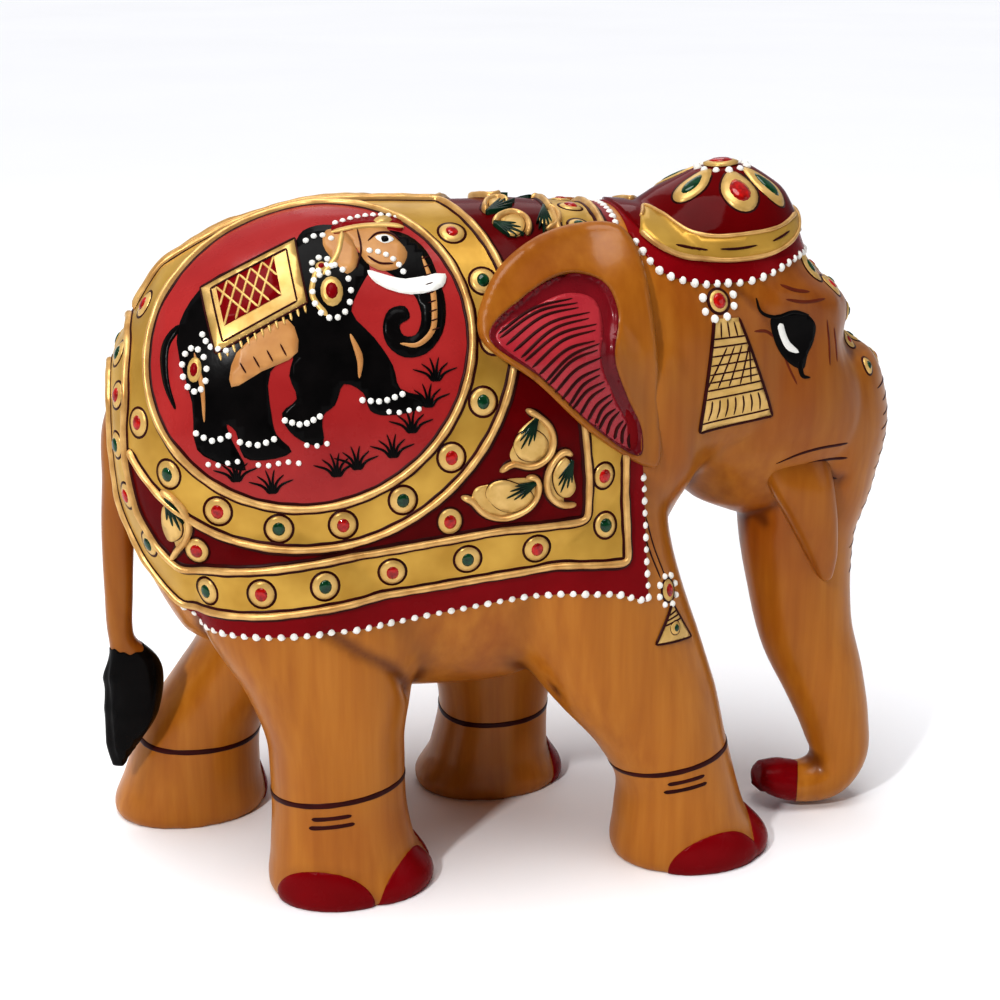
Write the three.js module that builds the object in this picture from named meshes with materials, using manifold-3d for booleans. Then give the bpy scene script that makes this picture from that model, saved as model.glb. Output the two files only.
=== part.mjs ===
// A carved and painted wooden elephant, walking, with a saddle cloth and a jewelled cap.
// Its ears, tusks and tail are separate pieces, glued on.
// Millimetres. +X is the way the elephant walks, +Z is up, and -Y is its right side.
import * as THREE from 'three';
import { mergeVertices } from 'three/addons/utils/BufferGeometryUtils.js';
import Module from 'manifold-3d';

const wasm = await Module();
wasm.setup();

// ---- driving dimensions ----
const GAP = 0.3; // glue line or paint line between two pieces that touch
const CLOTH_THICK = 0.8; // lacquered saddle cloth
const PANEL_THICK = 0.5; // painted oval on the cloth
const RIDGE_THICK = 1.1; // raised gold line on the cloth
const RIDGE_WIDTH = 1.8;
const CAP_THICK = 0.9;
const BACK_TOP = 143; // height of the back above the ground
const BELLY = 38; // height of the belly
const CROWN_TOP = 146; // top of the head, under the cap
const HALF_GIRTH = 35; // half the width of the body at the flanks
const FOOT_LENGTH = 35;
const FOOT_WIDTH = 28;
const LEG_Y = 20.5; // from the middle plane to the middle of a foot
const EAR_THICK = 3.6;
const SCOOP_DEPTH = 1.6; // hollow of the painted inside of the ear
const OVAL_LENGTH = 63; // painted oval on the flank
const OVAL_HEIGHT = 59;
const BAND_WIDTH = 8; // gold band between the two lines round the oval
const OUTER_FRONT = 20.5; // where the outer border line comes down the chest
const INNER_FRONT = 10.8; // where the inner one does
const OUTER_MARGIN = 0.6; // from the arch round the tail to the outer line
const INNER_MARGIN = 9.5; // and to the inner one
const NECK_LINES = { front: 18.5, back: 9 }; // the same lines where they cross the neck
const NECK_HALF = 13; // half the length of the lines over the neck
const REACH = 90; // beyond every surface, for cutting tools

// Heights of the layers over the wood: each pair is where a layer starts and ends.
const CLOTH_TOP = GAP + CLOTH_THICK;
const CLOTH = [GAP, CLOTH_TOP];
const PANEL = [CLOTH_TOP + GAP, CLOTH_TOP + GAP + PANEL_THICK];
const RIDGE = [CLOTH_TOP + GAP, CLOTH_TOP + GAP + RIDGE_THICK];
const CAP = [GAP, GAP + CAP_THICK];
const CAP_TRIM = [CAP[1] + GAP, CAP[1] + GAP + 0.9];
const PLATE = [GAP, GAP + 0.7];

const UP = new THREE.Vector3(0, 0, 1);
const AHEAD = new THREE.Vector3(1, 0, 0);

const WOOD = [0xb8702c, 0.4, 0];
const RED_LACQUER = [0x8a1820, 0.25, 0];
const CRIMSON = [0xb02a35, 0.3, 0];
const GOLD = [0xc9a14a, 0.35, 0.6];
const RUBY = [0xc01818, 0.15, 0];

// ---- helpers ----
function solidFrom(geometry) {
  geometry.deleteAttribute('normal');
  geometry.deleteAttribute('uv');
  const merged = mergeVertices(geometry, 1e-4);
  return new wasm.Manifold(new wasm.Mesh({
    numProp: 3,
    vertProperties: new Float32Array(merged.attributes.position.array),
    triVerts: new Uint32Array(merged.index.array),
  }));
}

function geometryFrom(solid) {
  const mesh = solid.getMesh();
  const geometry = new THREE.BufferGeometry();
  geometry.setAttribute('position', new THREE.BufferAttribute(mesh.vertProperties, 3));
  geometry.setIndex(new THREE.BufferAttribute(mesh.triVerts, 1));
  geometry.computeVertexNormals();
  return geometry;
}

// A smooth body through sections. Each section is [x, y, z, half, halfWidth]: its centre, its half size in the
// middle plane and its half size along Y. With facing, all sections are square to that direction;
// without it they turn to follow the line of centres. power 2 makes ellipses, more makes fuller corners.
function loft(sections, { facing = null, around = 20, along = 16, power = 2, grow = 0 } = {}) {
  const centres = new THREE.CatmullRomCurve3(sections.map(([x, y, z]) => new THREE.Vector3(x, y, z)));
  const halves = new THREE.CatmullRomCurve3(sections.map(([, , , a, b]) => new THREE.Vector3(a, b, 0)));
  const geometry = new THREE.CylinderGeometry(1, 1, 1, around, along);
  const spots = geometry.attributes.position;
  const sideways = new THREE.Vector3(0, 1, 0);
  const round = (value) => Math.sign(value) * Math.abs(value) ** (2 / power);
  for (let i = 0; i < spots.count; i++) {
    const t = THREE.MathUtils.clamp(spots.getY(i) + 0.5, 0, 1);
    const radius = Math.hypot(spots.getX(i), spots.getZ(i));
    const angle = Math.atan2(spots.getZ(i), spots.getX(i));
    const forward = facing ?? centres.getTangent(t);
    const inPlane = new THREE.Vector3().crossVectors(forward, sideways).normalize();
    const half = halves.getPoint(t);
    const endwise = Math.abs(t - 0.5) === 0.5 ? Math.sign(t - 0.5) * grow : 0;
    const point = centres.getPoint(t)
      .addScaledVector(inPlane, radius * (half.x + grow) * round(Math.cos(angle)))
      .addScaledVector(sideways, radius * (half.y + grow) * round(Math.sin(angle)))
      .addScaledVector(forward, endwise);
    spots.setXYZ(i, point.x, point.y, point.z);
  }
  return solidFrom(geometry);
}

// A flat outline drawn in X and Z, cut straight through the elephant along Y from one Y to another.
function acrossSlab(shape, fromY, toY) {
  const depth = toY - fromY;
  const geometry = new THREE.ExtrudeGeometry(shape, { depth, bevelEnabled: false, curveSegments: 10 });
  geometry.rotateX(Math.PI / 2);
  geometry.translate(0, toY, 0);
  return solidFrom(geometry);
}

// A flat outline drawn in X and Y, cut straight down.
function downSlab(shape, fromZ, toZ) {
  const depth = toZ - fromZ;
  const geometry = new THREE.ExtrudeGeometry(shape, { depth, bevelEnabled: false, curveSegments: 10 });
  geometry.translate(0, 0, fromZ);
  return solidFrom(geometry);
}

function outline(points) {
  return new THREE.Shape(points.map(([x, y]) => new THREE.Vector2(x, y)));
}

function smoothOutline(points, divisions = 17) {
  const curve = new THREE.CatmullRomCurve3(points.map(([x, y]) => new THREE.Vector3(x, y, 0)), true);
  return outline(curve.getPoints(divisions).slice(0, -1).map((p) => [p.x, p.y]));
}

function ellipse(x, y, halfX, halfY, turn = 0, divisions = 32) {
  const curve = new THREE.EllipseCurve(x, y, halfX, halfY, 0, 2 * Math.PI, false, turn);
  return outline(curve.getPoints(divisions).slice(0, -1).map((p) => [p.x, p.y]));
}

// ---- the carved block: body, head, trunk and legs from one piece of wood ----
function torso(grow) {
  const middle = (BACK_TOP + BELLY) / 2;
  const tall = (BACK_TOP - BELLY) / 2;
  return loft([
    [-81.2, 0, 97, 3, 3],
    [-79.8, 0, 96.5, 16, 13],
    [-75.2, 0, 94, 27.5, 21],
    [-68, 0, 93, 38.5, 28],
    [-55, 0, 93, 45.5, 32.5],
    [-38, 0, 92, tall - 1.5, 34.5],
    [-20, 0, middle, tall, HALF_GIRTH],
    [0, 0, middle, tall - 0.3, HALF_GIRTH],
    [15, 0, 93.5, 48, 33],
    [28, 0, 98, 41.5, 27],
    [38, 0, 102, 33, 20],
    [46, 0, 105, 16, 10],
  ], { facing: AHEAD, around: 24, along: 13, power: 2.15, grow });
}

function temples(grow) {
  return loft([
    [8, 0, 117, 18, 20],
    [20, 0, 117, 24, 26],
    [35, 0, 114.5, 26, 26.5],
    [50, 0, 110, 24, 24.5],
    [63, 0, 107, 18, 20],
    [71, 0, 106, 13, 14.5],
    [76, 0, 106, 6, 7],
  ], { facing: AHEAD, around: 18, along: 7, power: 2.35, grow });
}

function head(grow) {
  return loft([
    [60, 0, 71, 8, 6],
    [58.5, 0, 74.5, 17, 10.5],
    [57, 0, 82, 25, 16],
    [56, 0, 91, 28.5, 20],
    [54.5, 0, 101, 28, 22.3],
    [52.5, 0, 111, 26.6, 22.8],
    [50, 0, 119.5, 27, 22.3],
    [46.8, 0, 129, 20.6, 20.8],
    [45.5, 0, 137, 18.6, 17.5],
    [47.5, 0, 142.8, 12.8, 11.5],
    [48.5, 0, CROWN_TOP, 5, 4.5],
  ], { facing: UP, around: 20, along: 11, power: 2.1, grow });
}

function trunk(grow) {
  return loft([
    [62, 0, 108, 12, 12],
    [66.5, 0, 101, 19.5, 15.5],
    [69.5, 0, 92, 19.3, 16],
    [70.3, -0.5, 80, 16.2, 14],
    [69.3, -1, 68, 13.5, 12],
    [70, -2, 56, 12, 10.5],
    [72, -3.5, 43, 10.8, 9.4],
    [76.3, -5, 31, 9.4, 8.4],
    [79.6, -6, 20, 7.9, 7.4],
    [80.6, -6.8, 12.5, 6.8, 6.7],
    [77.6, -7.2, 7.2, 5.9, 6.1],
    [71.5, -7.5, 5.8, 4.9, 5.4],
    [65, -7.5, 7.4, 4.3, 5.2],
    [60.8, -7.5, 8.8, 2.6, 3.6],
  ], { around: 12, along: 17, grow });
}

// A leg, listed from the sole up. Each row is how far ahead of the foot and how far inward the section sits,
// its height, and its two halves.
function leg(footX, side, rows, grow) {
  const sections = rows.map(([ahead, inward, z, a, b]) => [footX + ahead, side * (LEG_Y - inward), z, a, b]);
  return loft(sections, { facing: UP, around: 14, along: 9, power: 2.15, grow });
}

function legs(grow) {
  const foot = [
    [0, 0, 0, FOOT_LENGTH / 2 - 0.6, FOOT_WIDTH / 2 - 0.6],
    [0, 0, 2.2, FOOT_LENGTH / 2, FOOT_WIDTH / 2],
  ];
  const rightHind = [...foot,
    [-1.2, 0.3, 8.5, 15.6, 13.6], [-1.8, 0.5, 20, 14.3, 12.8], [-2, 0.5, 33, 14.4, 13.2],
    [-3, 1, 46, 17.5, 14.6], [-5.5, 1.5, 60, 22.5, 15.8], [-7, 2.5, 76, 24, 17], [-8, 5, 98, 20, 15]];
  const leftHind = [...foot,
    [0.8, 0, 8.5, 15.8, 13.6], [4, 0.3, 22, 13.8, 12.8], [11.5, 0.5, 34, 14, 13.2],
    [20.5, 1, 46, 16.5, 14.6], [24, 1.5, 60, 20.5, 15.8], [26, 2.5, 76, 23, 17], [27, 5, 98, 20, 15]];
  const rightFront = [...foot,
    [-1.8, 0, 8.5, 15, 13.4], [-3.3, 0, 18, 13.3, 12.6], [-7.3, 0, 28, 14.6, 13.2],
    [-13.8, 0.7, 40, 18.5, 14.4], [-20.8, 1.5, 54, 21, 15.4], [-27, 2.5, 72, 21.5, 16.5], [-30, 5, 98, 20, 15]];
  const leftFront = [...foot,
    [0, 0, 8.5, 14.2, 13], [0.8, 0, 20, 13, 12.4], [1.5, 0, 32, 14, 13.2],
    [3, 0.7, 44, 17, 14.4], [4.5, 1.5, 58, 20, 15.4], [5, 2.5, 74, 21.5, 16.5], [5, 5, 98, 20, 15]];
  return [leg(-36.3, -1, rightHind, grow), leg(-69.5, 1, leftHind, grow),
    leg(39.2, -1, rightFront, grow), leg(3.5, 1, leftFront, grow)];
}

// The whole block, or the same shape grown evenly, which the layers of paint and paste are cut from.
const grownBlocks = new Map();
function block(grow) {
  if (!grownBlocks.has(grow)) {
    const parts = [temples(grow), head(grow), trunk(grow), ...legs(grow)];
    grownBlocks.set(grow, parts.reduce((all, one) => all.add(one), torso(grow)));
  }
  return grownBlocks.get(grow);
}

function layer([from, to]) {
  return block(to).subtract(block(from));
}

// ---- saddle cloth ----
// The cloth's edge seen from the side, open over the back.
const HEM_EDGE = [[-95, 63.2], [-68, 63.2], [-45, 63.8], [-16, 67], [7, 67.3], [27.5, 63.7]];
const OUTER_LINE = [[-95, 68], [-68, 69], [-25, 72.6], [20.5, 74.4]];
const INNER_LINE = [[-95, 76], [-69, 77], [-25, 80.3], [11, 83]];
const OPEN_TOP = BACK_TOP + 20;

// The part of the elephant behind and above an edge: front is how the edge goes on upward at the chest.
function sideRegion(edge, front, lift = 0) {
  const start = edge.map(([x, z]) => [x, z + lift]);
  return acrossSlab(outline([...start, ...front, [-95, front.at(-1)[1]]]), -REACH, REACH);
}

// The arch left bare round the tail, seen from behind, widened by margin.
function tailArch(margin) {
  const half = [[26, 58], [20.5, 66], [13.5, 74], [9, 83], [7, 95], [6, 105]];
  const right = half.map(([y, z]) => [y + margin, z]);
  const shoulder = [3.5 + margin * 0.7, 109.5 + margin * 0.7];
  const top = [shoulder, [0, 111 + margin], [-shoulder[0], shoulder[1]]];
  const left = right.map(([y, z]) => [-y, z]).reverse();
  const shape = outline([...right, ...top, ...left]);
  const geometry = new THREE.ExtrudeGeometry(shape, { depth: 50, bevelEnabled: false });
  geometry.rotateX(Math.PI / 2);
  geometry.rotateZ(Math.PI / 2);
  geometry.translate(-100, 0, 0);
  return solidFrom(geometry);
}

function clothRegion() {
  return sideRegion(HEM_EDGE, [[26.5, 90], [21.5, 104], [22.5, OPEN_TOP]]).subtract(tailArch(0));
}

function lineRegion(edge, frontX, margin, shrink, top) {
  const line = edge.with(-1, [frontX - shrink, edge.at(-1)[1]]);
  const front = [[frontX - shrink, 92], [frontX - shrink - 1, 104], [frontX - shrink, top]];
  return sideRegion(line, front, shrink).subtract(tailArch(margin + shrink));
}

// A raised line along the border: hem, chest and tail arch in one run over both flanks.
function borderRidge(edge, frontX, margin) {
  const outer = lineRegion(edge, frontX, margin, 0, OPEN_TOP);
  const inner = lineRegion(edge, frontX, margin, RIDGE_WIDTH, OPEN_TOP + 9);
  return layer(RIDGE).intersect(outer.subtract(inner)).subtract(neckPart()).subtract(earRoom());
}

// The two border lines come up again over the neck, between the ears.
function neckPart() {
  return acrossSlab(outline([[-2, 107], [40, 107], [40, OPEN_TOP + 20], [-2, OPEN_TOP + 20]]), -REACH, REACH);
}

function neckRidge(x) {
  const shape = outline([[x, 130], [x + RIDGE_WIDTH, 130], [x + RIDGE_WIDTH, OPEN_TOP], [x, OPEN_TOP]]);
  return layer(RIDGE).intersect(acrossSlab(shape, -NECK_HALF, NECK_HALF));
}

function saddleCloth() {
  return layer(CLOTH).intersect(clothRegion()).subtract(earRoom());
}

// ---- the oval on each flank ----
// Its tools lean with the slope of the flank, so that the oval runs up to the middle of the back.
const OVAL_AT = [-41.5, 119.7];
const OVAL_PLANE = 33;
const LEAN_UP = 0.33;
const LEAN_AHEAD = 0.19;

function flankTool(shape, side) {
  const geometry = new THREE.ExtrudeGeometry(shape, { depth: REACH, bevelEnabled: false, curveSegments: 10 });
  geometry.rotateX(Math.PI / 2);
  const spots = geometry.attributes.position;
  for (let i = 0; i < spots.count; i++) {
    const inward = OVAL_PLANE + spots.getY(i);
    spots.setX(i, spots.getX(i) + inward * LEAN_AHEAD);
    spots.setZ(i, spots.getZ(i) - inward * LEAN_UP);
    spots.setY(i, spots.getY(i) - GAP);
  }
  return mirrored(solidFrom(geometry), side);
}

// Everything is drawn on the right flank; the left one is its mirror image.
function mirrored(solid, side) {
  return side < 0 ? solid : solid.mirror([0, 1, 0]);
}

function oval(grow) {
  return ellipse(OVAL_AT[0], OVAL_AT[1], OVAL_LENGTH / 2 + grow, OVAL_HEIGHT / 2 + grow, 0, 26);
}

function hoop(grow) {
  const shape = oval(grow + RIDGE_WIDTH);
  shape.holes.push(new THREE.Path(oval(grow).getPoints()));
  return shape;
}

function ovalPanel(side) {
  return layer(PANEL).intersect(flankTool(oval(-GAP), side));
}

function ovalRidge(side) {
  return layer(RIDGE).intersect(flankTool(hoop(0), side)).subtract(earRoom());
}

// Keeps a piece to the field inside the inner border line and out of the ears' room.
function onField(solid) {
  const field = lineRegion(INNER_LINE, INNER_FRONT, INNER_MARGIN, RIDGE_WIDTH + GAP, OPEN_TOP);
  return solid.intersect(field).subtract(earRoom());
}

// The outer hoop stops at the ear and goes on above it as an arc of its own.
function ringRidge(side, above) {
  const ring = onField(layer(RIDGE).intersect(flankTool(hoop(BAND_WIDTH), side)));
  const shoulder = acrossSlab(outline([[-30, 131], [20, 131], [20, OPEN_TOP], [-30, OPEN_TOP]]), -REACH, REACH);
  return above ? ring.intersect(shoulder) : ring.subtract(shoulder);
}

// ---- paisley leaves on the cloth ----
// A drop with its tip curled over, standing at x, z, turned and scaled.
function paisley(x, z, length, turn, flip = 1) {
  const points = [[0, -0.5], [0.3, -0.38], [0.36, -0.12], [0.26, 0.12], [0.1, 0.34], [0.22, 0.5],
    [-0.02, 0.47], [-0.14, 0.22], [-0.3, 0], [-0.36, -0.26], [-0.2, -0.44]];
  const c = Math.cos(turn) * length;
  const s = Math.sin(turn) * length;
  return smoothOutline(points.map(([u, v]) => [x + flip * u * c - v * s, z + flip * u * s + v * c]));
}

const LEAVES = [
  [-5, 89.3, 11, -1.25, 1],
  [1, 99, 9.5, 0.35, -1],
  [6.2, 90.9, 8.6, -0.15, 1],
  [-68.2, 88.5, 9.5, 0.35, 1],
];

function leaf(index, side) {
  const cut = mirrored(acrossSlab(paisley(...LEAVES[index]), -REACH, -GAP), side);
  const ring = flankTool(oval(BAND_WIDTH + RIDGE_WIDTH + GAP), side);
  return onField(layer(RIDGE).intersect(cut)).subtract(ring);
}

// ---- ears ----
const EAR_EDGE = [[27.3, 93], [14.3, 99.8], [2.3, 111.2], [-9.2, 121.4], [-6.5, 133.6], [1.8, 141.8],
  [11.3, 144.3], [19.4, 142.2], [24, 134.8], [26.6, 121.2], [27.4, 107.2]];
const SCOOP_EDGE = [[22.4, 96.2], [12.4, 102.6], [1, 113.2], [-7.2, 121.8], [-0.6, 129.4], [8.2, 134.4],
  [15.2, 132.4], [18.2, 125.8], [17.4, 116.4], [20.2, 108.4], [23.2, 101.6]];
const EAR_FRONT = 27.4; // the ear is glued to the head along its front edge
const EAR_FACE = 29.6; // how far out the front edge stands
const EAR_FLARE = 9.5; // how much further out the ear stands behind that edge
const EAR_BEND = 119; // above this height the ear leans in to the neck

// The outer face of the ear: how far out it stands at x, z.
function earFace(x, z) {
  const flare = EAR_FLARE * (1 - Math.exp(-(EAR_FRONT - x) / 8));
  return EAR_FACE + flare - 0.08 * (z - 95) - 0.85 * Math.max(0, z - EAR_BEND);
}

// The sheet that the ear is cut from, reaching in and out from the ear's outer face, cut to an outline.
function earSheet(points, depthIn, depthOut, room = 0) {
  const sheet = new THREE.BoxGeometry(64, depthIn + depthOut, 76, 9, 1, 9);
  const spots = sheet.attributes.position;
  for (let i = 0; i < spots.count; i++) {
    const [x, z] = [spots.getX(i) + 12, spots.getZ(i) + 112];
    spots.setXYZ(i, x, spots.getY(i) + (depthIn - depthOut) / 2 - earFace(x, z), z);
  }
  const grown = points.map(([x, z]) => [x + Math.sign(x - 12) * room, z + Math.sign(z - 116) * room]);
  return solidFrom(sheet).intersect(flankTool(smoothOutline(grown, 26), -1));
}

function earRoot(room) {
  const edge = [
    [22.5 - room, 94], [26.8 + room, 97], [26.3 + room, 122 + room], [23, 127 + room], [21.5 - room, 118]];
  return acrossSlab(outline(edge), -EAR_FACE + 1.4 - room * 30, -10);
}

function ear(side) {
  const whole = earSheet(EAR_EDGE, EAR_THICK, 0).add(earRoot(0));
  const flap = whole.subtract(earSheet(SCOOP_EDGE, SCOOP_DEPTH, 5));
  return mirrored(flap.subtract(block(GAP)), side);
}

// The room that the ears take out of the cloth and its lines.
function earRoom() {
  const room = earSheet(EAR_EDGE, EAR_THICK + GAP, 12, GAP + 0.1).add(earRoot(GAP + 0.1));
  return room.add(mirrored(room, 1));
}

function earLining(side) {
  const edge = SCOOP_EDGE.map(([x, z]) => [11 + (x - 11) * 0.94, 116 + (z - 116) * 0.94]);
  return mirrored(earSheet(edge, SCOOP_DEPTH - GAP, GAP + PANEL_THICK - SCOOP_DEPTH), side);
}

// ---- tusks ----
function tusk(side) {
  const peg = loft([
    [62.5, -12, 88.5, 7.6, 4.6],
    [64.3, -14.6, 82, 7.2, 4.6],
    [67.2, -15, 74, 5.5, 4],
    [70.2, -14.3, 65, 3.4, 2.9],
    [71.8, -13.8, 58.5, 1, 1],
  ], { facing: UP.clone().negate(), around: 12, along: 8 });
  return mirrored(peg.subtract(block(GAP)), side);
}

// ---- tail ----
function tail() {
  const strip = loft([
    [-77, 0, 107, 2.6, 4.2],
    [-79.2, 0, 98, 3.4, 4.6],
    [-80, 0, 87, 3.4, 4],
    [-80.9, 0.4, 76, 3.4, 3.3],
    [-81.7, 1.4, 62, 3, 2.9],
    [-82, 3.4, 50.5, 2.7, 2.8],
    [-80.4, 6, 40, 5, 3.6],
    [-81, 8, 31, 5, 3.8],
    [-83.4, 9.8, 22, 3.2, 3],
    [-84.4, 10.4, 16.5, 1, 1.2],
  ], { around: 10, along: 16 });
  return strip.subtract(block(GAP)).subtract(block(RIDGE[1] + GAP).intersect(clothRegion()));
}

// ---- cap ----
const CAP_EDGE = [
  [20.5, 141], [25.5, 137], [31, 130.5], [38, 127.2], [48, 127.6], [58, 130.6], [64, 130], [74, 129.5]];

function capShell() {
  const back = [[22.8, OPEN_TOP], [22.8, 140]];
  const edge = outline([...CAP_EDGE.slice(1), [74, OPEN_TOP], ...back]);
  return layer(CAP).intersect(acrossSlab(edge, -REACH, REACH));
}

function capBand(side) {
  const band = smoothOutline([[26.6, 138.4], [32.5, 132.4], [41.5, 130.4], [51, 132.6], [58.6, 141],
    [51.5, 136.4], [42, 134.6], [33.5, 136.2]]);
  return mirrored(layer(CAP_TRIM).intersect(acrossSlab(band, -REACH, -4)), side);
}

const CAP_MIDDLE = [48.5, 0];
const PETALS = 6;

function capPetal(index) {
  const turn = (2 * Math.PI * (index + 0.5)) / PETALS;
  const reach = 9.8;
  const long = index % 3 === 1 ? 3.9 : 4.3;
  const wide = index % 3 === 1 ? 3.2 : 2.2;
  const x = CAP_MIDDLE[0] + reach * Math.cos(turn);
  const y = CAP_MIDDLE[1] + reach * Math.sin(turn);
  return layer(CAP_TRIM).intersect(downSlab(ellipse(x, y, long, wide, turn, 12), 120, 170));
}

// ---- jewels ----
function capButton() {
  const dome = new THREE.SphereGeometry(1, 12, 8).scale(3.4, 3.4, 2.9).translate(CAP_MIDDLE[0], 0, CROWN_TOP);
  return solidFrom(dome).subtract(block(CAP[1] + GAP));
}

// A round stone set on a side, seated on the layer it belongs to.
function stone([x, z, radius], depths, side) {
  const disc = acrossSlab(ellipse(x, z, radius, radius, 0, 10), -REACH, -14);
  return layer(depths).intersect(mirrored(disc, side));
}

const FIELD_STONES = { front: [-15.4, 84.6, 2.4], back: [-64.6, 80.6, 2.2] };
const PENDANT_STONE = [42.4, 124.4, 2.4];

// Gold plates down the middle of the forehead, under the front of the cap.
const FOREHEAD = [
  [69.6, 0, 127, 2.6, 2.3, 3], [74, 0, 122.8, 2.5, 2.8, 2.4], [77.8, 0, 117.6, 2.2, 2.6, 3],
  [79.4, 0, 110.6, 2.2, 2.4, 3], [84.6, 0, 105, 2.4, 2.3, 2.8],
];

function foreheadPlate(index) {
  const [x, y, z, halfX, halfY, halfZ] = FOREHEAD[index];
  return layer(PLATE).intersect(solidFrom(new THREE.SphereGeometry(1, 12, 8)
    .scale(halfX * 1.2, halfY, halfZ).translate(x, y, z)));
}

// ---- pendants beside the eyes and tassels at the shoulders ----
function pendant(side) {
  const shape = outline([[40.4, 120.8], [45.4, 120.4], [53.6, 99.6], [38.2, 97.8]]);
  return mirrored(layer(PLATE).intersect(acrossSlab(shape, -REACH, -8)), side);
}

// The right one hangs over the leg that is put forward, the left one on the chest.
const TASSEL_TOP = { right: [32, 61.6], left: [31.4, 74.6] };

function shoulderTassel(side, [x, z]) {
  const shape = outline([[x, z], [x + 3.2, z - 8], [x - 3, z - 9.6]]);
  return mirrored(layer(PLATE).intersect(acrossSlab(shape, -REACH, -14)), side);
}

function tasselStone(side, [x, z]) {
  return stone([x, z + 2.2, 1.6], PLATE, side);
}

// ---- assembly ----
const elephant = new THREE.Group();

function place(name, solid, [color, roughness, metalness]) {
  const material = new THREE.MeshStandardMaterial({ color, roughness, metalness });
  const mesh = new THREE.Mesh(geometryFrom(solid), material);
  mesh.name = name;
  elephant.add(mesh);
}

place('carved_body', block(0), WOOD);
place('tail', tail(), WOOD);
place('saddle_cloth', saddleCloth(), RED_LACQUER);
place('border_ridge_outer', borderRidge(OUTER_LINE, OUTER_FRONT, OUTER_MARGIN), GOLD);
place('border_ridge_inner', borderRidge(INNER_LINE, INNER_FRONT, INNER_MARGIN), GOLD);
place('neck_ridge_front', neckRidge(NECK_LINES.front), GOLD);
place('neck_ridge_back', neckRidge(NECK_LINES.back), GOLD);
for (const [side, word] of [[-1, 'right'], [1, 'left']]) {
  place(`ear_${word}`, ear(side), WOOD);
  place(`ear_lining_${word}`, earLining(side), CRIMSON);
  place(`tusk_${word}`, tusk(side), WOOD);
  place(`oval_panel_${word}`, ovalPanel(side), CRIMSON);
  place(`oval_ridge_${word}`, ovalRidge(side), GOLD);
  place(`ring_ridge_${word}`, ringRidge(side, false), GOLD);
  place(`ring_top_${word}`, ringRidge(side, true), GOLD);
  LEAVES.forEach((_, i) => place(`leaf_${word}_${i + 1}`, leaf(i, side), GOLD));
  place(`cap_band_${word}`, capBand(side), GOLD);
  place(`pendant_${word}`, pendant(side), GOLD);
  place(`pendant_stone_${word}`, stone(PENDANT_STONE, PLATE, side), RUBY);
  place(`shoulder_tassel_${word}`, shoulderTassel(side, TASSEL_TOP[word]), GOLD);
  place(`tassel_stone_${word}`, tasselStone(side, TASSEL_TOP[word]), RUBY);
  place(`field_stone_front_${word}`, onField(stone(FIELD_STONES.front, RIDGE, side)), RUBY);
  place(`field_stone_back_${word}`, onField(stone(FIELD_STONES.back, RIDGE, side)), RUBY);
}
place('cap', capShell(), RED_LACQUER);
place('cap_button', capButton(), RUBY);
for (let i = 0; i < PETALS; i++) place(`cap_petal_${i + 1}`, capPetal(i), GOLD);
FOREHEAD.forEach((_, i) => place(`forehead_plate_${i + 1}`, foreheadPlate(i), GOLD));

// The origin is the middle of the elephant's footprint box, on the ground.
const bounds = new THREE.Box3().setFromObject(elephant);
const middle = bounds.getCenter(new THREE.Vector3());
elephant.position.set(-middle.x, -middle.y, -bounds.min.z);
elephant.updateMatrixWorld(true);

export default elephant;
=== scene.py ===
"""A carved and painted wooden elephant: the looks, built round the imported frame.

Shapes are drawn in millimetres in the carver's frame: X ahead, Y to the left, Z up, ground at Z = 0.
The frame's origin is DRAWN_AHEAD behind the carver's one. The right side is drawn, the left one mirrors it.
"""
import math

import bpy
import numpy as np
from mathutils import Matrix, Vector
from mathutils.bvhtree import BVHTree
from mathutils.geometry import delaunay_2d_cdt


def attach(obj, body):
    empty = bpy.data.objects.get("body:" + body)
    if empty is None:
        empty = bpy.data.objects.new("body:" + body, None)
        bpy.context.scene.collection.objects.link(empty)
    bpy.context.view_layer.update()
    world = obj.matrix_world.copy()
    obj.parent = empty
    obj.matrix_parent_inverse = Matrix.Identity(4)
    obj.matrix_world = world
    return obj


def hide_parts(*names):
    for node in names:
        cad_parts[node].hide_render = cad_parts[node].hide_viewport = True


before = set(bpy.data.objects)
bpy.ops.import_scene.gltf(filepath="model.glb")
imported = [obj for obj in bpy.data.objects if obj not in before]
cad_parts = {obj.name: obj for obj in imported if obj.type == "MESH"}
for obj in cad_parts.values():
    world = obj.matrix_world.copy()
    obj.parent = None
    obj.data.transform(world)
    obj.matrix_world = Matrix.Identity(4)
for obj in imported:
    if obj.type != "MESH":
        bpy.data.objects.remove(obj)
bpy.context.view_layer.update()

MM = 0.001
DRAWN_AHEAD = 0.97
VOXEL = 0.8  # edge of the fine body's faces
SIDES = {"right": -1, "left": 1}

# Heights of the layers above the wood.
CLOTH, BAND, PANEL = 0.35, 0.5, 0.5
RIDGE_WIDTH, RIDGE_TALL, RIDGE_SIDES = 1.5, 1.15, 7

# ---------------------------------------------------------------- curves


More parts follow.
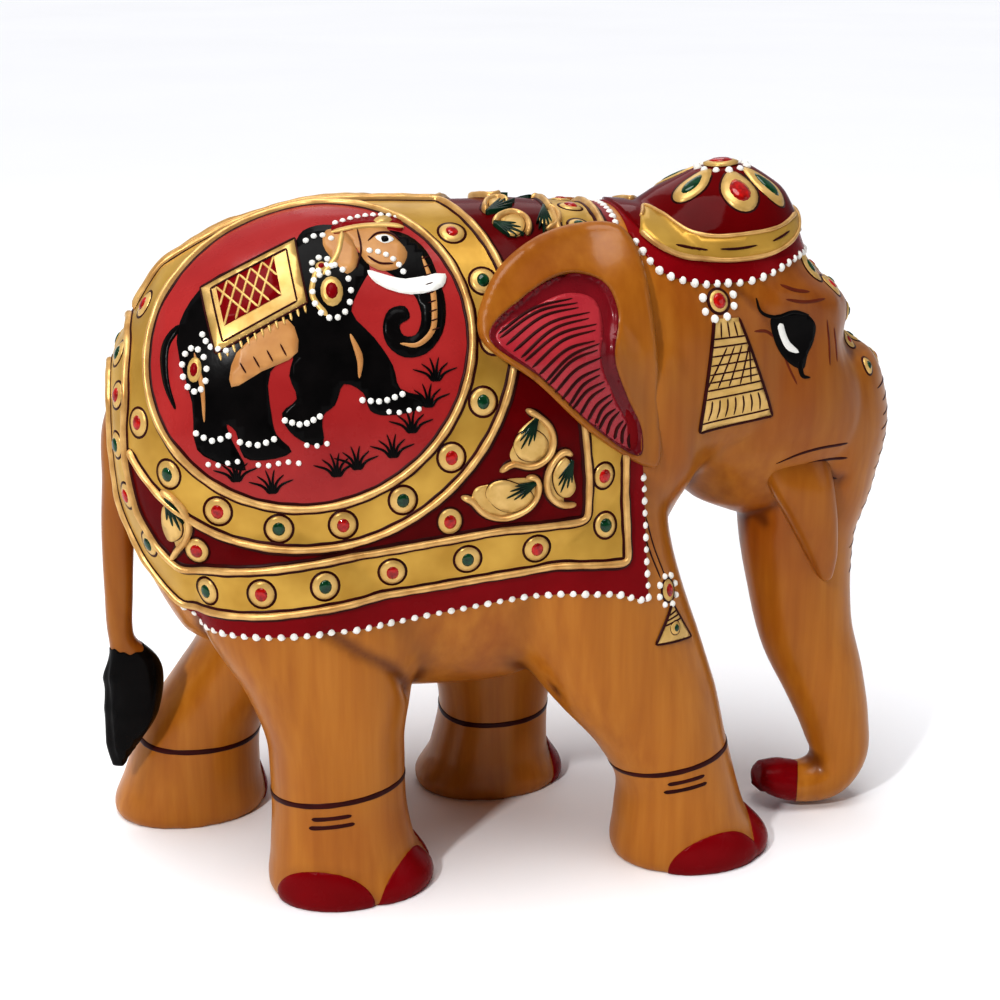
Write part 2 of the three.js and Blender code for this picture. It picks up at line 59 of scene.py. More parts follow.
def spline(points, per=8, closed=False):
    """A smooth curve through the points, with per steps from each point to the next."""
    p = np.array(points, float)
    if closed:
        p = np.vstack([p[-1], p, p[0], p[1]])
    else:
        p = np.vstack([2 * p[0] - p[1], p, 2 * p[-1] - p[-2]])
    s = (np.arange(per) / per)[:, None]
    runs = []
    for a, b, c, d in zip(p, p[1:], p[2:], p[3:]):
        ta, tb, tc = (max(np.linalg.norm(v) ** 0.5, 1e-6) for v in (b - a, c - b, d - c))
        start = ((b - a) / ta - (c - a) / (ta + tb) + (c - b) / tb) * tb
        end = ((c - b) / tb - (d - b) / (tb + tc) + (d - c) / tc) * tb
        runs.append(
            b * (2 * s**3 - 3 * s**2 + 1) + start * (s**3 - 2 * s**2 + s)
            + c * (3 * s**2 - 2 * s**3) + end * (s**3 - s**2)
        )
    line = np.vstack(runs)
    return line if closed else np.vstack([line, p[-2]])


def even(line, step, closed=False):
    """The same line with points an equal distance apart, near step."""
    line = np.vstack([line, line[:1]]) if closed else np.asarray(line, float)
    along = np.concatenate([[0], np.cumsum(np.linalg.norm(np.diff(line, axis=0), axis=1))])
    count = max(int(round(along[-1] / step)), 2)
    at = np.linspace(0, along[-1], count + 1)
    if closed:
        at = at[:-1]
    return np.stack([np.interp(at, along, line[:, k]) for k in range(line.shape[1])], axis=1)


def arc(centre, half, start, stop, count=24):
    """Points on an ellipse from one angle to another, in degrees."""
    a = np.radians(np.linspace(start, stop, count))
    return np.stack([centre[0] + half[0] * np.cos(a), centre[1] + half[1] * np.sin(a)], axis=1)


def through(x, table):
    """The value at x of a broken line given as (x, value) pairs."""
    xs, values = zip(*table)
    return np.interp(x, xs, values)


def unit(v):
    """Vectors of length one in the same directions."""
    return v / np.maximum(np.linalg.norm(v, axis=-1, keepdims=True), 1e-9)


# ---------------------------------------------------------------- meshes


def face_normals(points, faces):
    """Not of unit length: a large face counts for more."""
    f = np.asarray([face[:3] for face in faces])
    return np.cross(points[f[:, 1]] - points[f[:, 0]], points[f[:, 2]] - points[f[:, 0]])


def vertex_normals(points, triangles):
    """Normals of length one at the points."""
    f = np.asarray(triangles)
    n = face_normals(points, f)
    out = np.zeros_like(points)
    for k in range(3):
        np.add.at(out, f[:, k], n)
    return unit(out)


def outward(points, faces, normals):
    """The faces, all turned over if they look into the surface whose normals are given."""
    turned = np.einsum("ij,ij->i", face_normals(points, faces), normals[[f[0] for f in faces]]).sum()
    return faces if turned > 0 else [f[::-1] for f in faces]


def publish(name, points, faces, material, replaces=(), values=None):
    """Makes a piece from points in the carver's millimetres, riding on the only body. values are numbers for
    the material, one at each point."""
    mesh = bpy.data.meshes.new(name)
    mesh.from_pydata(((np.asarray(points) - (DRAWN_AHEAD, 0, 0)) * MM).tolist(), [],
                     [list(map(int, f)) for f in faces])
    mesh.validate()
    mesh.polygons.foreach_set("use_smooth", [True] * len(mesh.polygons))
    for key, numbers in (values or {}).items():
        mesh.attributes.new(key, "FLOAT", "POINT").data.foreach_set("value", np.asarray(numbers, np.float32))
    mesh.materials.append(material)
    piece = bpy.data.objects.new(name, mesh)
    bpy.context.scene.collection.objects.link(piece)
    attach(piece, "root")
    if replaces:
        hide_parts(*replaces)
    return piece


class Heap:
    """Gathers many small meshes into one piece."""

    def __init__(self):
        self.points, self.faces, self.count = [], [], 0

    def add(self, points, faces):
        self.points.append(np.asarray(points, float))
        self.faces += [[i + self.count for i in f] for f in faces]
        self.count += len(points)
        return self

    def both(self):
        """Adds the mirror image of all that is in the heap."""
        points, faces = np.vstack(self.points), list(self.faces)
        return self.add(points * (1, -1, 1), [f[::-1] for f in faces])

    def publish(self, name, material, slot=None, replaces=()):
        return publish(name, np.vstack(self.points), self.faces, material, replaces)


def loft(rows, around=40, per=6, power=2.0, facing=None):
    """A closed skin through sections (x, y, z, half in the middle plane, half across)."""
    rows = np.array(rows, float)
    centres, halves = spline(rows[:, :3], per), spline(rows[:, 3:], per)
    forward = unit(np.gradient(centres, axis=0)) if facing is None else np.tile(facing, (len(centres), 1))
    inward = unit(np.cross(forward, (0, 1, 0)))
    angle = 2 * math.pi * np.arange(around) / around
    rounded = lambda v: np.sign(v) * np.abs(v) ** (2 / power)
    c, s = rounded(np.cos(angle)), rounded(np.sin(angle))
    rings = (
        centres[:, None]
        + inward[:, None] * (halves[:, :1] * c)[:, :, None]
        + np.array((0, 1, 0)) * (halves[:, 1:] * s)[:, :, None]
    )
    points = np.vstack([rings.reshape(-1, 3), centres[:1], centres[-1:]])
    first, last = len(points) - 2, len(points) - 1
    faces, top = [], (len(centres) - 1) * around
    for j in range(around):
        k = (j + 1) % around
        for i in range(0, top, around):
            faces.append([i + j, i + k, i + around + k, i + around + j])
        faces.append([first, k, j])
        faces.append([last, top + j, top + k])
    volume = np.einsum("ij,ij->i", points[[f[0] for f in faces]], face_normals(points, faces)).sum()
    return points, faces if volume > 0 else [f[::-1] for f in faces]


# ---------------------------------------------------------------- a surface that things are laid on


NORMAL_ROUNDS = 6  # how often a surface's normals are evened out


class Surface:
    """A mesh with smooth normals, which rays and nearest points are looked up on."""

    def __init__(self, points, faces):
        self.points, self.faces = points, faces
        self.triangles = np.array([(f[0], f[k], f[k + 1]) for f in faces for k in range(1, len(f) - 1)])
        self.edges = np.unique(np.sort(np.vstack([self.triangles[:, :2], self.triangles[:, 1:],
                                                  self.triangles[:, ::2]])), axis=0)
        self.tree = BVHTree.FromPolygons(points.tolist(), self.triangles.tolist())
        normals = vertex_normals(points, self.triangles)
        for _ in range(NORMAL_ROUNDS):
            normals = unit(self.blurred(normals))
        self.normals = normals
        self.flat = unit(normals[self.triangles].mean(axis=1))

    def blurred(self, values):
        """Each vertex's value mixed with its neighbours'."""
        total, count = np.array(values, float), np.ones(len(self.points))
        for a, b in (self.edges.T, self.edges.T[::-1]):
            np.add.at(total, a, values[b])
            np.add.at(count, a, 1)
        return total / (count[:, None] if total.ndim > 1 else count)

    def cast(self, starts, direction):
        """Where rays meet the surface, with its normals there."""
        spots, normals = [], []
        for start in starts:
            hit, _, index, _ = self.tree.ray_cast(Vector(start), Vector(direction))
            if hit is None:
                hit, _, index, _ = self.tree.find_nearest(Vector(start) + Vector(direction) * REACH)
            spots.append(hit)
            normals.append(self.flat[index])
        return np.array(spots), np.array(normals)

    def nearest(self, points):
        found = [self.tree.find_nearest(Vector(p)) for p in points]
        return np.array([f[0] for f in found]), self.flat[[f[2] for f in found]]


REACH = 110.0  # well outside the block
FLANK_PLANE = 33.0
LEAN_AHEAD, LEAN_DOWN = 0.19, 0.33  # how a drawing on the flank plane shifts for each millimetre inward
FLANK_AIM = np.array((LEAN_AHEAD, 1.0, -LEAN_DOWN)) / np.linalg.norm((LEAN_AHEAD, 1.0, -LEAN_DOWN))


def from_flank(surface, drawn):
    """Drawings on the flank plane, laid on leaning in over the back."""
    starts = np.column_stack([drawn[:, 0], np.full(len(drawn), -FLANK_PLANE),
                              drawn[:, 1]]) - FLANK_AIM * REACH
    return surface.cast(starts, FLANK_AIM)


def from_side(surface, drawn):
    """Drawings as (X, Z), laid on straight from the right."""
    starts = np.column_stack([drawn[:, 0], np.full(len(drawn), -REACH), drawn[:, 1]])
    return surface.cast(starts, np.array((0.0, 1.0, 0.0)))


def from_front(surface, drawn):
    """Drawings as (Y, Z), laid on straight from ahead."""
    starts = np.column_stack([np.full(len(drawn), REACH), drawn])
    return surface.cast(starts, np.array((-1.0, 0.0, 0.0)))


def skirted(points, normals, faces, height, sunk=0.35):
    """Lifts a sheet off its surface and closes its edges down into the surface."""
    top = points + normals * height
    edges = {}
    for f in faces:
        for a, b in zip(f, list(f[1:]) + [f[0]]):
            edges[(a, b)] = True
    rim = [(a, b) for a, b in edges if (b, a) not in edges]
    low = {v: len(points) + i for i, v in enumerate(sorted({a for edge in rim for a in edge}))}
    base = points[list(low)] - normals[list(low)] * sunk
    return np.vstack([top, base]), list(faces) + [[b, a, low[a], low[b]] for a, b in rim]


def inside(drawn, outline):
    """Which points are inside a closed outline."""
    x, y = drawn[:, :1], drawn[:, 1:]
    a, b = outline, np.roll(outline, -1, axis=0)
    crosses = (a[:, 1] > y) != (b[:, 1] > y)
    with np.errstate(divide="ignore", invalid="ignore"):
        at = a[:, 0] + (y - a[:, 1]) * (b[:, 0] - a[:, 0]) / (b[:, 1] - a[:, 1])
    return (crosses & (x < at)).sum(axis=1) % 2 == 1


def patch(surface, laid, outline, height, grid=1.6):
    """A flat shape with the given outline, laid on the surface."""
    outline = np.array(outline, float)
    lo, hi = outline.min(axis=0), outline.max(axis=0)
    cells = np.stack(np.meshgrid(*(np.arange(lo[k] + grid / 2, hi[k], grid) for k in (0, 1))),
                     axis=-1).reshape(-1, 2)
    near = np.min(np.linalg.norm(cells[:, None] - outline[None], axis=2),
                  axis=1) if len(cells) else np.zeros(0)
    cells = cells[inside(cells, outline) & (near > grid * 0.45)]
    drawn = np.vstack([outline, cells])
    count = len(outline)
    made = delaunay_2d_cdt([Vector(p) for p in drawn], [(i, (i + 1) % count) for i in range(count)],
                           [list(range(count))], 1, 1e-5)
    flat = np.array([tuple(v) for v in made[0]])
    faces = [list(f) for f in made[2]]
    spots, normals = laid(surface, flat)
    return skirted(spots, normals, outward(spots, faces, normals), height)


def stroke(surface, laid, path, width, height=0.1, lift=0.0, taper=(0.25, 0.25), per=8):
    """A brush stroke along a drawn path, rounded across. It tapers over a share of its length at each end."""
    line = even(spline(path, per), 0.45)
    t = np.linspace(0, 1, len(line))
    lead = np.clip(t / max(taper[0], 1e-3), 0, 1) * np.clip((1 - t) / max(taper[1], 1e-3), 0, 1)
    half = width / 2 * (0.12 + 0.88 * np.sqrt(lead))
    heading = unit(np.gradient(line, axis=0))
    if line.shape[1] == 2:
        across = np.column_stack([-heading[:, 1], heading[:, 0]])
    else:
        across = unit(np.cross(surface.nearest(line)[1], heading))
    shares = np.array((-1, -0.72, 0, 0.72, 1))
    drawn = line[:, None] + across[:, None] * (half[:, None] * shares)[:, :, None]
    spots, normals = laid(surface, drawn.reshape(-1, line.shape[1]))
    tall = np.tile((-0.2, 0.75, 1, 0.75, -0.2), len(line)) * height
    tall = np.where(tall < 0, -0.25, tall + lift)
    points = spots + normals * tall[:, None]
    return points, outward(points, grid_faces(len(line), len(shares)), normals)


def grid_faces(rows, columns, closed=False):
    """Faces over points that stand in rows; a closed grid joins its last row to its first."""
    last = rows if closed else rows - 1
    return [
        [i * columns + j, i * columns + j + 1, (i + 1) % rows * columns + j + 1, (i + 1) % rows * columns + j]
        for i in range(last)
        for j in range(columns - 1)
    ]


def ridge(surface, line, width=RIDGE_WIDTH, tall=RIDGE_TALL, lift=CLOTH, closed=False, step=0.7):
    """A hand-laid raised line of paste: half round, with ends that run out."""
    line = even(line, step, closed)
    spots, normals = surface.nearest(line)
    for _ in range(3):
        spots, normals = along_blur(spots, closed), unit(along_blur(normals, closed))
    heading = unit(np.roll(spots, -1, axis=0) - np.roll(spots, 1,
            axis=0)) if closed else unit(np.gradient(spots, axis=0))
    across = unit(np.cross(normals, heading))
    t = np.linspace(0, 1, len(line)) * len(line) * step
    ends = np.ones(len(line)) if closed else np.sqrt(np.clip(np.minimum(t, t[::-1]) / width, 0.02, 1))
    wobble = 1 + 0.07 * np.sin(t * 0.9) * np.sin(t * 0.37 + 1)
    angle = np.linspace(0, math.pi, RIDGE_SIDES)
    wide = np.outer(width / 2 * wobble * ends, np.cos(angle))
    high = np.outer(tall * wobble * ends, np.sin(angle)) + lift
    high[:, (0, -1)] = lift - 0.5
    points = spots[:, None] + across[:, None] * wide[:, :, None] + normals[:, None] * high[:, :, None]
    points = points.reshape(-1, 3)
    faces = grid_faces(len(line), RIDGE_SIDES, closed)
    return points, outward(points, faces, np.repeat(normals, RIDGE_SIDES, axis=0))


def along_blur(values, closed):
    """Each value mixed with the ones before and after it on a line."""
    before, after = np.roll(values, 1, axis=0), np.roll(values, -1, axis=0)
    if not closed:
        before[0], after[-1] = values[0], values[-1]
    return (before + 2 * values + after) / 4


def boss(surface, at, half, tall, turn=0.0, lift=0.0, rings=4, around=16, up=(0, 0, 1), point=0.0):
    """A low dome on the surface at a place near it. half is its two half sizes, the first one along up.
    point draws the end that lies along up out to a tip."""
    (spot,), (normal,) = surface.nearest([at])
    first = unit(np.array(up, float) - normal * np.dot(up, normal))
    second = np.cross(normal, first)
    angle = 2 * math.pi * np.arange(around) / around
    points, faces = [spot + normal * (tall + lift)], []
    shares = [k / rings for k in range(1, rings + 1)] + [1.0]
    for n, share in enumerate(shares):
        c, s = np.cos(angle), np.sin(angle)
        reach = half[0] * c * (1 + point * np.clip(c, 0, 1) ** 3)
        narrow = 1 - point * 0.5 * np.clip(c, 0, 1)
        u = share * (reach * math.cos(turn) - half[1] * s * narrow * math.sin(turn))
        v = share * (reach * math.sin(turn) + half[1] * s * narrow * math.cos(turn))
        base, normals = surface.nearest(spot + np.outer(u, first) + np.outer(v, second))
        high = lift - 0.4 if n == rings else lift + tall * math.sqrt(max(1 - share**2, 0.0)) + 0.02
        points += list(base + normals * high)
    for j in range(around):
        k = (j + 1) % around
        faces.append([0, 1 + j, 1 + k])
        for n in range(rings):
            a = 1 + n * around
            faces.append([a + j, a + around + j, a + around + k, a + k])
    points = np.array(points)
    turned = np.dot(face_normals(points, faces).sum(axis=0), normal)
    return points, faces if turned > 0 else [f[::-1] for f in faces]


def skin(surface, field, height, sunk=0.35):
    """The part of the surface where field is above zero, lifted off it, with a clean edge."""
    points, normals = surface.points, surface.normals
    kept, cut = {}, {}
    out_points, out_normals, faces = [], [], []

    def keep(v):
        if v not in kept:
            kept[v] = len(out_points)
            out_points.append(points[v])
            out_normals.append(normals[v])
        return kept[v]

    def between(a, b):
        key = (min(a, b), max(a, b))
        if key not in cut:
            a, b = key
            share = field[a] / (field[a] - field[b])
            cut[key] = len(out_points)
            out_points.append(points[a] + (points[b] - points[a]) * share)
            out_normals.append(unit(normals[a] + (normals[b] - normals[a]) * share))
        return cut[key]

    above = field[surface.triangles] > 0
    for corners, up in zip(surface.triangles[above.any(axis=1)].tolist(), above[above.any(axis=1)].tolist()):
        face = []
        for k in range(3):
            a, b = corners[k], corners[(k + 1) % 3]
            if up[k]:
                face.append(keep(a))
            if up[k] != up[(k + 1) % 3]:
                face.append(between(a, b))
        faces.append(face)
    return skirted(np.array(out_points), np.array(out_normals), faces, height, sunk)


def contour(surface, field, where=None):
    """The lines on the surface where field is zero, longest first: each is (points, closed)."""
    usable = np.ones(len(field), bool) if where is None else where
    up = field > 0
    links, spots = {}, {}
    mixed = surface.triangles[(up[surface.triangles].any(axis=1)) & (~up[surface.triangles].all(axis=1))]
    for tri in mixed[usable[mixed].all(axis=1)].tolist():
        ends = []
        for a, b in ((tri[0], tri[1]), (tri[1], tri[2]), (tri[2], tri[0])):
            if up[a] != up[b]:
                key = (min(a, b), max(a, b))
                share = field[key[0]] / (field[key[0]] - field[key[1]])
                spots[key] = surface.points[key[0]] * (1 - share) + surface.points[key[1]] * share
                ends.append(key)
        links.setdefault(ends[0], []).append(ends[1])
        links.setdefault(ends[1], []).append(ends[0])
    lines = []
    while links:
        start = next((k for k, v in links.items() if len(v) == 1), next(iter(links)))
        chain, at = [start], start
        while links.get(at):
            after = links[at].pop()
            links[after].remove(at)
            if not links[at]:
                del links[at]
            at = after
            chain.append(at)
        links.pop(at, None)
        closed = chain[0] == chain[-1] and len(chain) > 3
        line = np.array([spots[k] for k in (chain[:-1] if closed else chain)])
        if len(line) > 4:
            lines.append((line, closed))
    return sorted(lines, key=lambda pair: -len(pair[0]))


# ---------------------------------------------------------------- materials


def nodes_for(name):
    """Starts a material made of nodes."""
    made = bpy.data.materials.new(name)
    made.use_nodes = True
    tree = made.node_tree
    shader = tree.nodes["Principled BSDF"]
    place = tree.nodes.new("ShaderNodeTexCoord").outputs["Object"]
    return made, tree, shader, place


def noise(tree, place, scale, stretch=(1, 1, 1), detail=3.0):
    """Noise with features about 1 / scale metres across, stretched along the axes."""
    mapping = tree.nodes.new("ShaderNodeMapping")
    mapping.inputs["Scale"].default_value = [scale / s for s in stretch]
    tree.links.new(place, mapping.inputs["Vector"])
    texture = tree.nodes.new("ShaderNodeTexNoise")
    texture.inputs["Scale"].default_value = 1.0
    texture.inputs["Detail"].default_value = detail
    tree.links.new(mapping.outputs["Vector"], texture.inputs["Vector"])
    return texture.outputs["Fac"]


def ramp(tree, source, stops):
    """Turns a value into a colour, by (value, colour) stops."""
    made = tree.nodes.new("ShaderNodeValToRGB")
    while len(made.color_ramp.elements) < len(stops):
        made.color_ramp.elements.new(0.5)
    for element, (at, color) in zip(made.color_ramp.elements, stops):
        element.position = at
        element.color = (*color, 1.0) if len(color) == 3 else color
    tree.links.new(source, made.inputs["Fac"])
    return made.outputs["Color"]


def blend_colors(tree, share, first, second, mode="MIX"):
    """Mixes two colours by a share."""
    made = tree.nodes.new("ShaderNodeMix")
    made.data_type = "RGBA"
    made.blend_type = mode
    for socket, value in (("Factor", share), ("A", first), ("B", second)):
        target = next(s for s in made.inputs if s.name == socket and s.enabled)
        if isinstance(value, (int, float, tuple)):
            target.default_value = (*value, 1.0) if isinstance(value, tuple) else value
        else:
            tree.links.new(value, target)
    return next(s for s in made.outputs if s.enabled)


def bumped(tree, shader, heights, strength, depth):
    """Makes a shader look raised where heights are high."""
    bump = tree.nodes.new("ShaderNodeBump")
    bump.inputs["Strength"].default_value = strength
    bump.inputs["Distance"].default_value = depth * MM
    tree.links.new(heights, bump.inputs["Height"])
    tree.links.new(bump.outputs["Normal"], shader.inputs["Normal"])


def between_values(tree, source, low, high):
    """Maps 0 to 1 onto low to high."""
    made = tree.nodes.new("ShaderNodeMapRange")
    made.inputs["To Min"].default_value = low
    made.inputs["To Max"].default_value = high
    tree.links.new(source, made.inputs["Value"])
    return made.outputs["Result"]


def enamel(name, dark, light, patches=120, rough=(0.12, 0.22), metal=0.0, coat=0.0, brush=0.25,
           brush_depth=0.1, shine=0.22):
    """Brushed enamel or gold paint: two tones in soft patches, brush marks and an uneven gloss."""
    made, tree, shader, place = nodes_for(name)
    tones = noise(tree, place, patches)
    tree.links.new(ramp(tree, tones, [(0.3, dark), (0.7, light)]), shader.inputs["Base Color"])
    tree.links.new(between_values(tree, noise(tree, place, 260), *rough), shader.inputs["Roughness"])
    bumped(tree, shader, noise(tree, place, 700, (1, 1, 1.6)), brush, brush_depth)
    shader.inputs["Metallic"].default_value = metal
    shader.inputs["Specular IOR Level"].default_value = shine
    shader.inputs["Coat Weight"].default_value = coat
    shader.inputs["Coat Roughness"].default_value = 0.06
    return made


def varnished_wood():
    """Pale tight-grained wood under orange varnish, darkened by painted shade in the hollows and on the
    shaded parts.
    """
    made, tree, shader, place = nodes_for("varnished_wood")
    grain = noise(tree, place, 420, (1, 1, 22), 4)
    broad = noise(tree, place, 42, (1, 1, 2.2), 3)
    fine = ramp(tree, grain, [(0.28, (0.36, 0.119, 0.008)), (0.55, (0.415, 0.149, 0.012)),
                              (0.8, (0.46, 0.178, 0.019))])
    warm = ramp(tree, broad, [(0.3, (0.80, 0.62, 0.5)), (0.5, (1.0, 1.0, 1.0)), (0.75, (1.1, 1.1, 1.15))])
    toned = blend_colors(tree, 1.0, fine, warm, "MULTIPLY")
    # Painted shade: a dark brown mixed in by the per-point shade number.
    painted_shade = tree.nodes.new("ShaderNodeAttribute")
    painted_shade.attribute_name = "painted_shade"
    shaded = blend_colors(tree, painted_shade.outputs["Fac"], toned, (0.12, 0.025, 0.002))
    tree.links.new(shaded, shader.inputs["Base Color"])
    tree.links.new(between_values(tree, noise(tree, place, 150), 0.24, 0.4), shader.inputs["Roughness"])
    bumped(tree, shader, grain, 0.12, 0.12)
    shader.inputs["Specular IOR Level"].default_value = 0.22
    shader.inputs["Coat Weight"].default_value = 0.1
    shader.inputs["Coat Roughness"].default_value = 0.12
    return made


def stone_glass(name, color):
    """Clear coloured glass over foil, as a cut stone looks when it is set."""
    made, tree, shader, place = nodes_for(name)
    deep = tuple(c * 0.35 for c in color)
    tree.links.new(ramp(tree, noise(tree, place, 900), [(0.3, deep), (0.65, color)]),
                   shader.inputs["Base Color"])
    shader.inputs["Roughness"].default_value = 0.05
    shader.inputs["Specular IOR Level"].default_value = 0.3
    shader.inputs["Coat Weight"].default_value = 0.3
    shader.inputs["Coat Roughness"].default_value = 0.02
    return made


WOOD = varnished_wood()
GOLD = enamel("gold_paint", (0.42, 0.235, 0.035), (0.60, 0.37, 0.075), 90, (0.28, 0.42), metal=0.4)
GOLD_LIGHT = enamel("gold_paste", (0.50, 0.27, 0.085), (0.74, 0.48, 0.19), 260, (0.22, 0.42), metal=0.35,
                    brush=0.5)
GOLD_DISC = enamel("gold_disc", (0.54, 0.34, 0.10), (0.70, 0.47, 0.18), 300, (0.28, 0.4), metal=0.3)
RED_GROUND = enamel("dark_red_lacquer", (0.08, 0.0006, 0.0012), (0.135, 0.001, 0.0025), 80, (0.14, 0.24),
                    shine=0.04)
CRIMSON = enamel("crimson_enamel", (0.18, 0.0008, 0.003), (0.225, 0.0015, 0.005), 90, (0.2, 0.32), shine=0.06)
PANEL_RED = enamel("panel_red", (0.30, 0.015, 0.016), (0.39, 0.030, 0.028), 60, (0.22, 0.34), coat=0.1,
                   shine=0.16)
MAROON = enamel("maroon_line", (0.022, 0.001, 0.001), (0.05, 0.003, 0.002), 200, (0.3, 0.45), shine=0.1)
BLACK = enamel("black_enamel", (0.002, 0.0018, 0.0018), (0.005, 0.004, 0.004), 200, (0.16, 0.28), shine=0.05)
CAP_RED = enamel("cap_lacquer", (0.09, 0.0006, 0.0012), (0.14, 0.001, 0.002), 70, (0.06, 0.12), brush=0.12,
                 shine=0.04)
PINK = enamel("ear_crimson", (0.34, 0.018, 0.030), (0.46, 0.042, 0.052), 70, (0.2, 0.34), coat=0.25,
              brush=0.5)
# Darker crimson for the walls of the ear's hollow: painted shade.
PINK_IN_SHADE = enamel("ear_wall", (0.12, 0.002, 0.006), (0.19, 0.005, 0.011), 90, (0.2, 0.34), coat=0.1)
PEARL = enamel("pearl_enamel", (0.78, 0.76, 0.70), (0.90, 0.89, 0.85), 400, (0.18, 0.28), brush=0.1)
BROWN = enamel("brown_line", (0.09, 0.012, 0.003), (0.16, 0.026, 0.007), 200, (0.35, 0.5), shine=0.1)
TAN = enamel("tan_paint", (0.42, 0.19, 0.06), (0.54, 0.28, 0.10), 200, (0.25, 0.4))
GREEN_INK = enamel("green_black_ink", (0.001, 0.008, 0.004), (0.003, 0.03, 0.012), 300, (0.15, 0.25),
                   shine=0.15)
RUBY = stone_glass("ruby_glass", (0.50, 0.006, 0.004))
EMERALD = stone_glass("emerald_glass", (0.002, 0.06, 0.018))

# ---------------------------------------------------------------- the carved block

AHEAD, UP = (1.0, 0.0, 0.0), (0.0, 0.0, 1.0)
TORSO = [
    (-80.6, 0, 97, 3, 3), (-79.2, 0, 96.5, 16, 13), (-74.8, 0, 94.4, 27, 21), (-68, 0, 93, 38.5, 28),
    (-55, 0, 93, 45.5, 32.5), (-38, 0, 92, 51, 34.5), (-20, 0, 90.5, 52.5, 35), (0, 0, 90.5, 52.2, 35),
    (15, 0, 93.5, 48, 33), (28, 0, 98.5, 40, 27), (37, 0, 103, 30, 20), (44, 0, 106, 15, 10),
]
TEMPLES = [
    (8, 0, 117, 18, 20), (20, 0, 117, 24, 26), (35, 0, 113, 26.8, 26.5), (50, 0, 110, 24, 24.5),
    (63, 0, 107, 18, 20), (71, 0, 106, 13, 14.5), (76, 0, 106, 6, 7),
]
HEAD = [
    (61.5, 0, 72, 8, 6), (60.5, 0, 75.8, 15.8, 10.5), (59.2, 0, 83.5, 22.8, 16), (56, 0, 91, 28.5, 20),
    (54.5, 0, 101, 28, 22.3), (52.5, 0, 111, 26.6, 22.8), (50, 0, 119.5, 27, 22.3),
    (46.8, 0, 129, 20.6, 20.8),
    (45.5, 0, 137, 18.6, 17.5), (47.5, 0, 142.8, 12.8, 11.5), (48.5, 0, 146, 5, 4.5),
]
TRUNK = [
    (62, 0, 108, 12, 12), (66.5, 0, 101, 19.5, 15.5), (69.5, 0, 92, 19.3, 16), (70.3, -0.5, 80, 16.2, 14),
    (69.3, -1, 68, 13.5, 12), (70, -2, 56, 12, 10.5), (72, -3.5, 43, 10.8, 9.4), (76.3, -5, 31, 9.4, 8.4),
    (79.6, -6, 20, 7.9, 7.4), (80.6, -6.8, 12.5, 6.8, 6.7), (77.6, -7.2, 7.2, 5.9, 6.1),
    (71.5, -7.5, 5.8, 4.9, 5.4), (65, -7.5, 7.4, 4.3, 5.2), (60.8, -7.5, 8.8, 2.6, 3.6),
]
LEG_Y = 20.5
FOOT = [(0, 0, 0, 16.9, 13.4), (0, 0, 2.2, 17.5, 14)]
# Each leg: where its foot stands, its side, and its sections as (ahead, inward, height, half, half across).
LEGS = {
    "right_hind": (-36.3, -1, [
        (-1.2, 0.3, 8.5, 15.6, 13.6), (-1.8, 0.5, 20, 14.3, 12.8), (-2, 0.5, 33, 14.4, 13.2),
        (-3, 1, 46, 17.5, 14.6), (-5.5, 1.5, 60, 22.5, 15.8), (-7, 2.5, 76, 24, 17), (-8, 5, 98, 20, 15)]),
    "left_hind": (-69.5, 1, [
        (0.8, 0, 8.5, 15.8, 13.6), (4, 0.3, 22, 13.8, 12.8), (11.8, 0.5, 34, 13.6, 13.2),
        (21, 1, 46, 15.6, 14.6), (24, 1.5, 60, 20.5, 15.8), (26, 2.5, 76, 23, 17), (27, 5, 98, 20, 15)]),
    "right_front": (39.8, -1, [
        (-1.8, 0, 8.5, 15, 13.4), (-3.3, 0, 18, 13.3, 12.6), (-7.3, 0, 28, 14.6, 13.2),
        (-13.8, 0.7, 40, 18.5, 14.4), (-20.8, 1.5, 54, 21, 15.4), (-27, 2.5, 72, 21.5, 16.5),
        (-30, 5, 98, 20, 15)]),
    "left_front": (1.6, 1, [
        (0.4, 0, 8.5, 14.2, 13), (1.6, 0, 20, 13, 12.4), (1.6, 0, 32, 15, 13.2),
        (1.2, 0.7, 44, 20, 14.4), (4.5, 1.5, 58, 20, 15.4), (5, 2.5, 74, 21.5, 16.5), (5, 5, 98, 20, 15)]),
}
# Toes: the middle angle of each nail round the foot, from straight ahead towards the outer side.
NAILS = {"right_hind": (116, 35, -42), "left_hind": (100, 30), "right_front": (78, 8, -60),
         "left_front": (75, 5)}
NAIL_HALF, NAIL_TALL = 39.0, 9.0


def block():
    """The wooden block as one fine even mesh, in millimetres."""
    heap = Heap()
    heap.add(*loft(TORSO, 72, 8, 2.15, AHEAD))
    heap.add(*loft(TEMPLES, 60, 8, 2.35, AHEAD))
    heap.add(*loft(HEAD, 60, 8, 2.1, UP))
    heap.add(*loft(TRUNK, 48, 8))
    for foot_x, side, rows in LEGS.values():
        sections = [(foot_x + ahead, side * (LEG_Y - inward), z, a, b) for ahead, inward, z, a,
                    b in FOOT + rows]
        heap.add(*loft(sections, 48, 8, 2.15, UP))
    mesh = bpy.data.meshes.new("block")
    mesh.from_pydata((np.vstack(heap.points) * MM).tolist(), [], heap.faces)
    thing = bpy.data.objects.new("block", mesh)
    bpy.context.scene.collection.objects.link(thing)
    remesh = thing.modifiers.new("even", "REMESH")
    remesh.mode = "VOXEL"
    remesh.voxel_size = VOXEL * MM
    fine = thing.evaluated_get(bpy.context.evaluated_depsgraph_get()).to_mesh()
    points = np.empty(len(fine.vertices) * 3)
    fine.vertices.foreach_get("co", points)
    faces = [list(p.vertices) for p in fine.polygons]
    bpy.data.objects.remove(thing)
    return points.reshape(-1, 3) / MM, faces


def smoothed(points, surface, rounds):
    """Evens out the facets and softens the joins, without shrinking the block."""
    for _ in range(rounds):
        points = points + 0.65 * (surface.blurred(points) - points)
        points = points - 0.68 * (surface.blurred(points) - points)
    return points


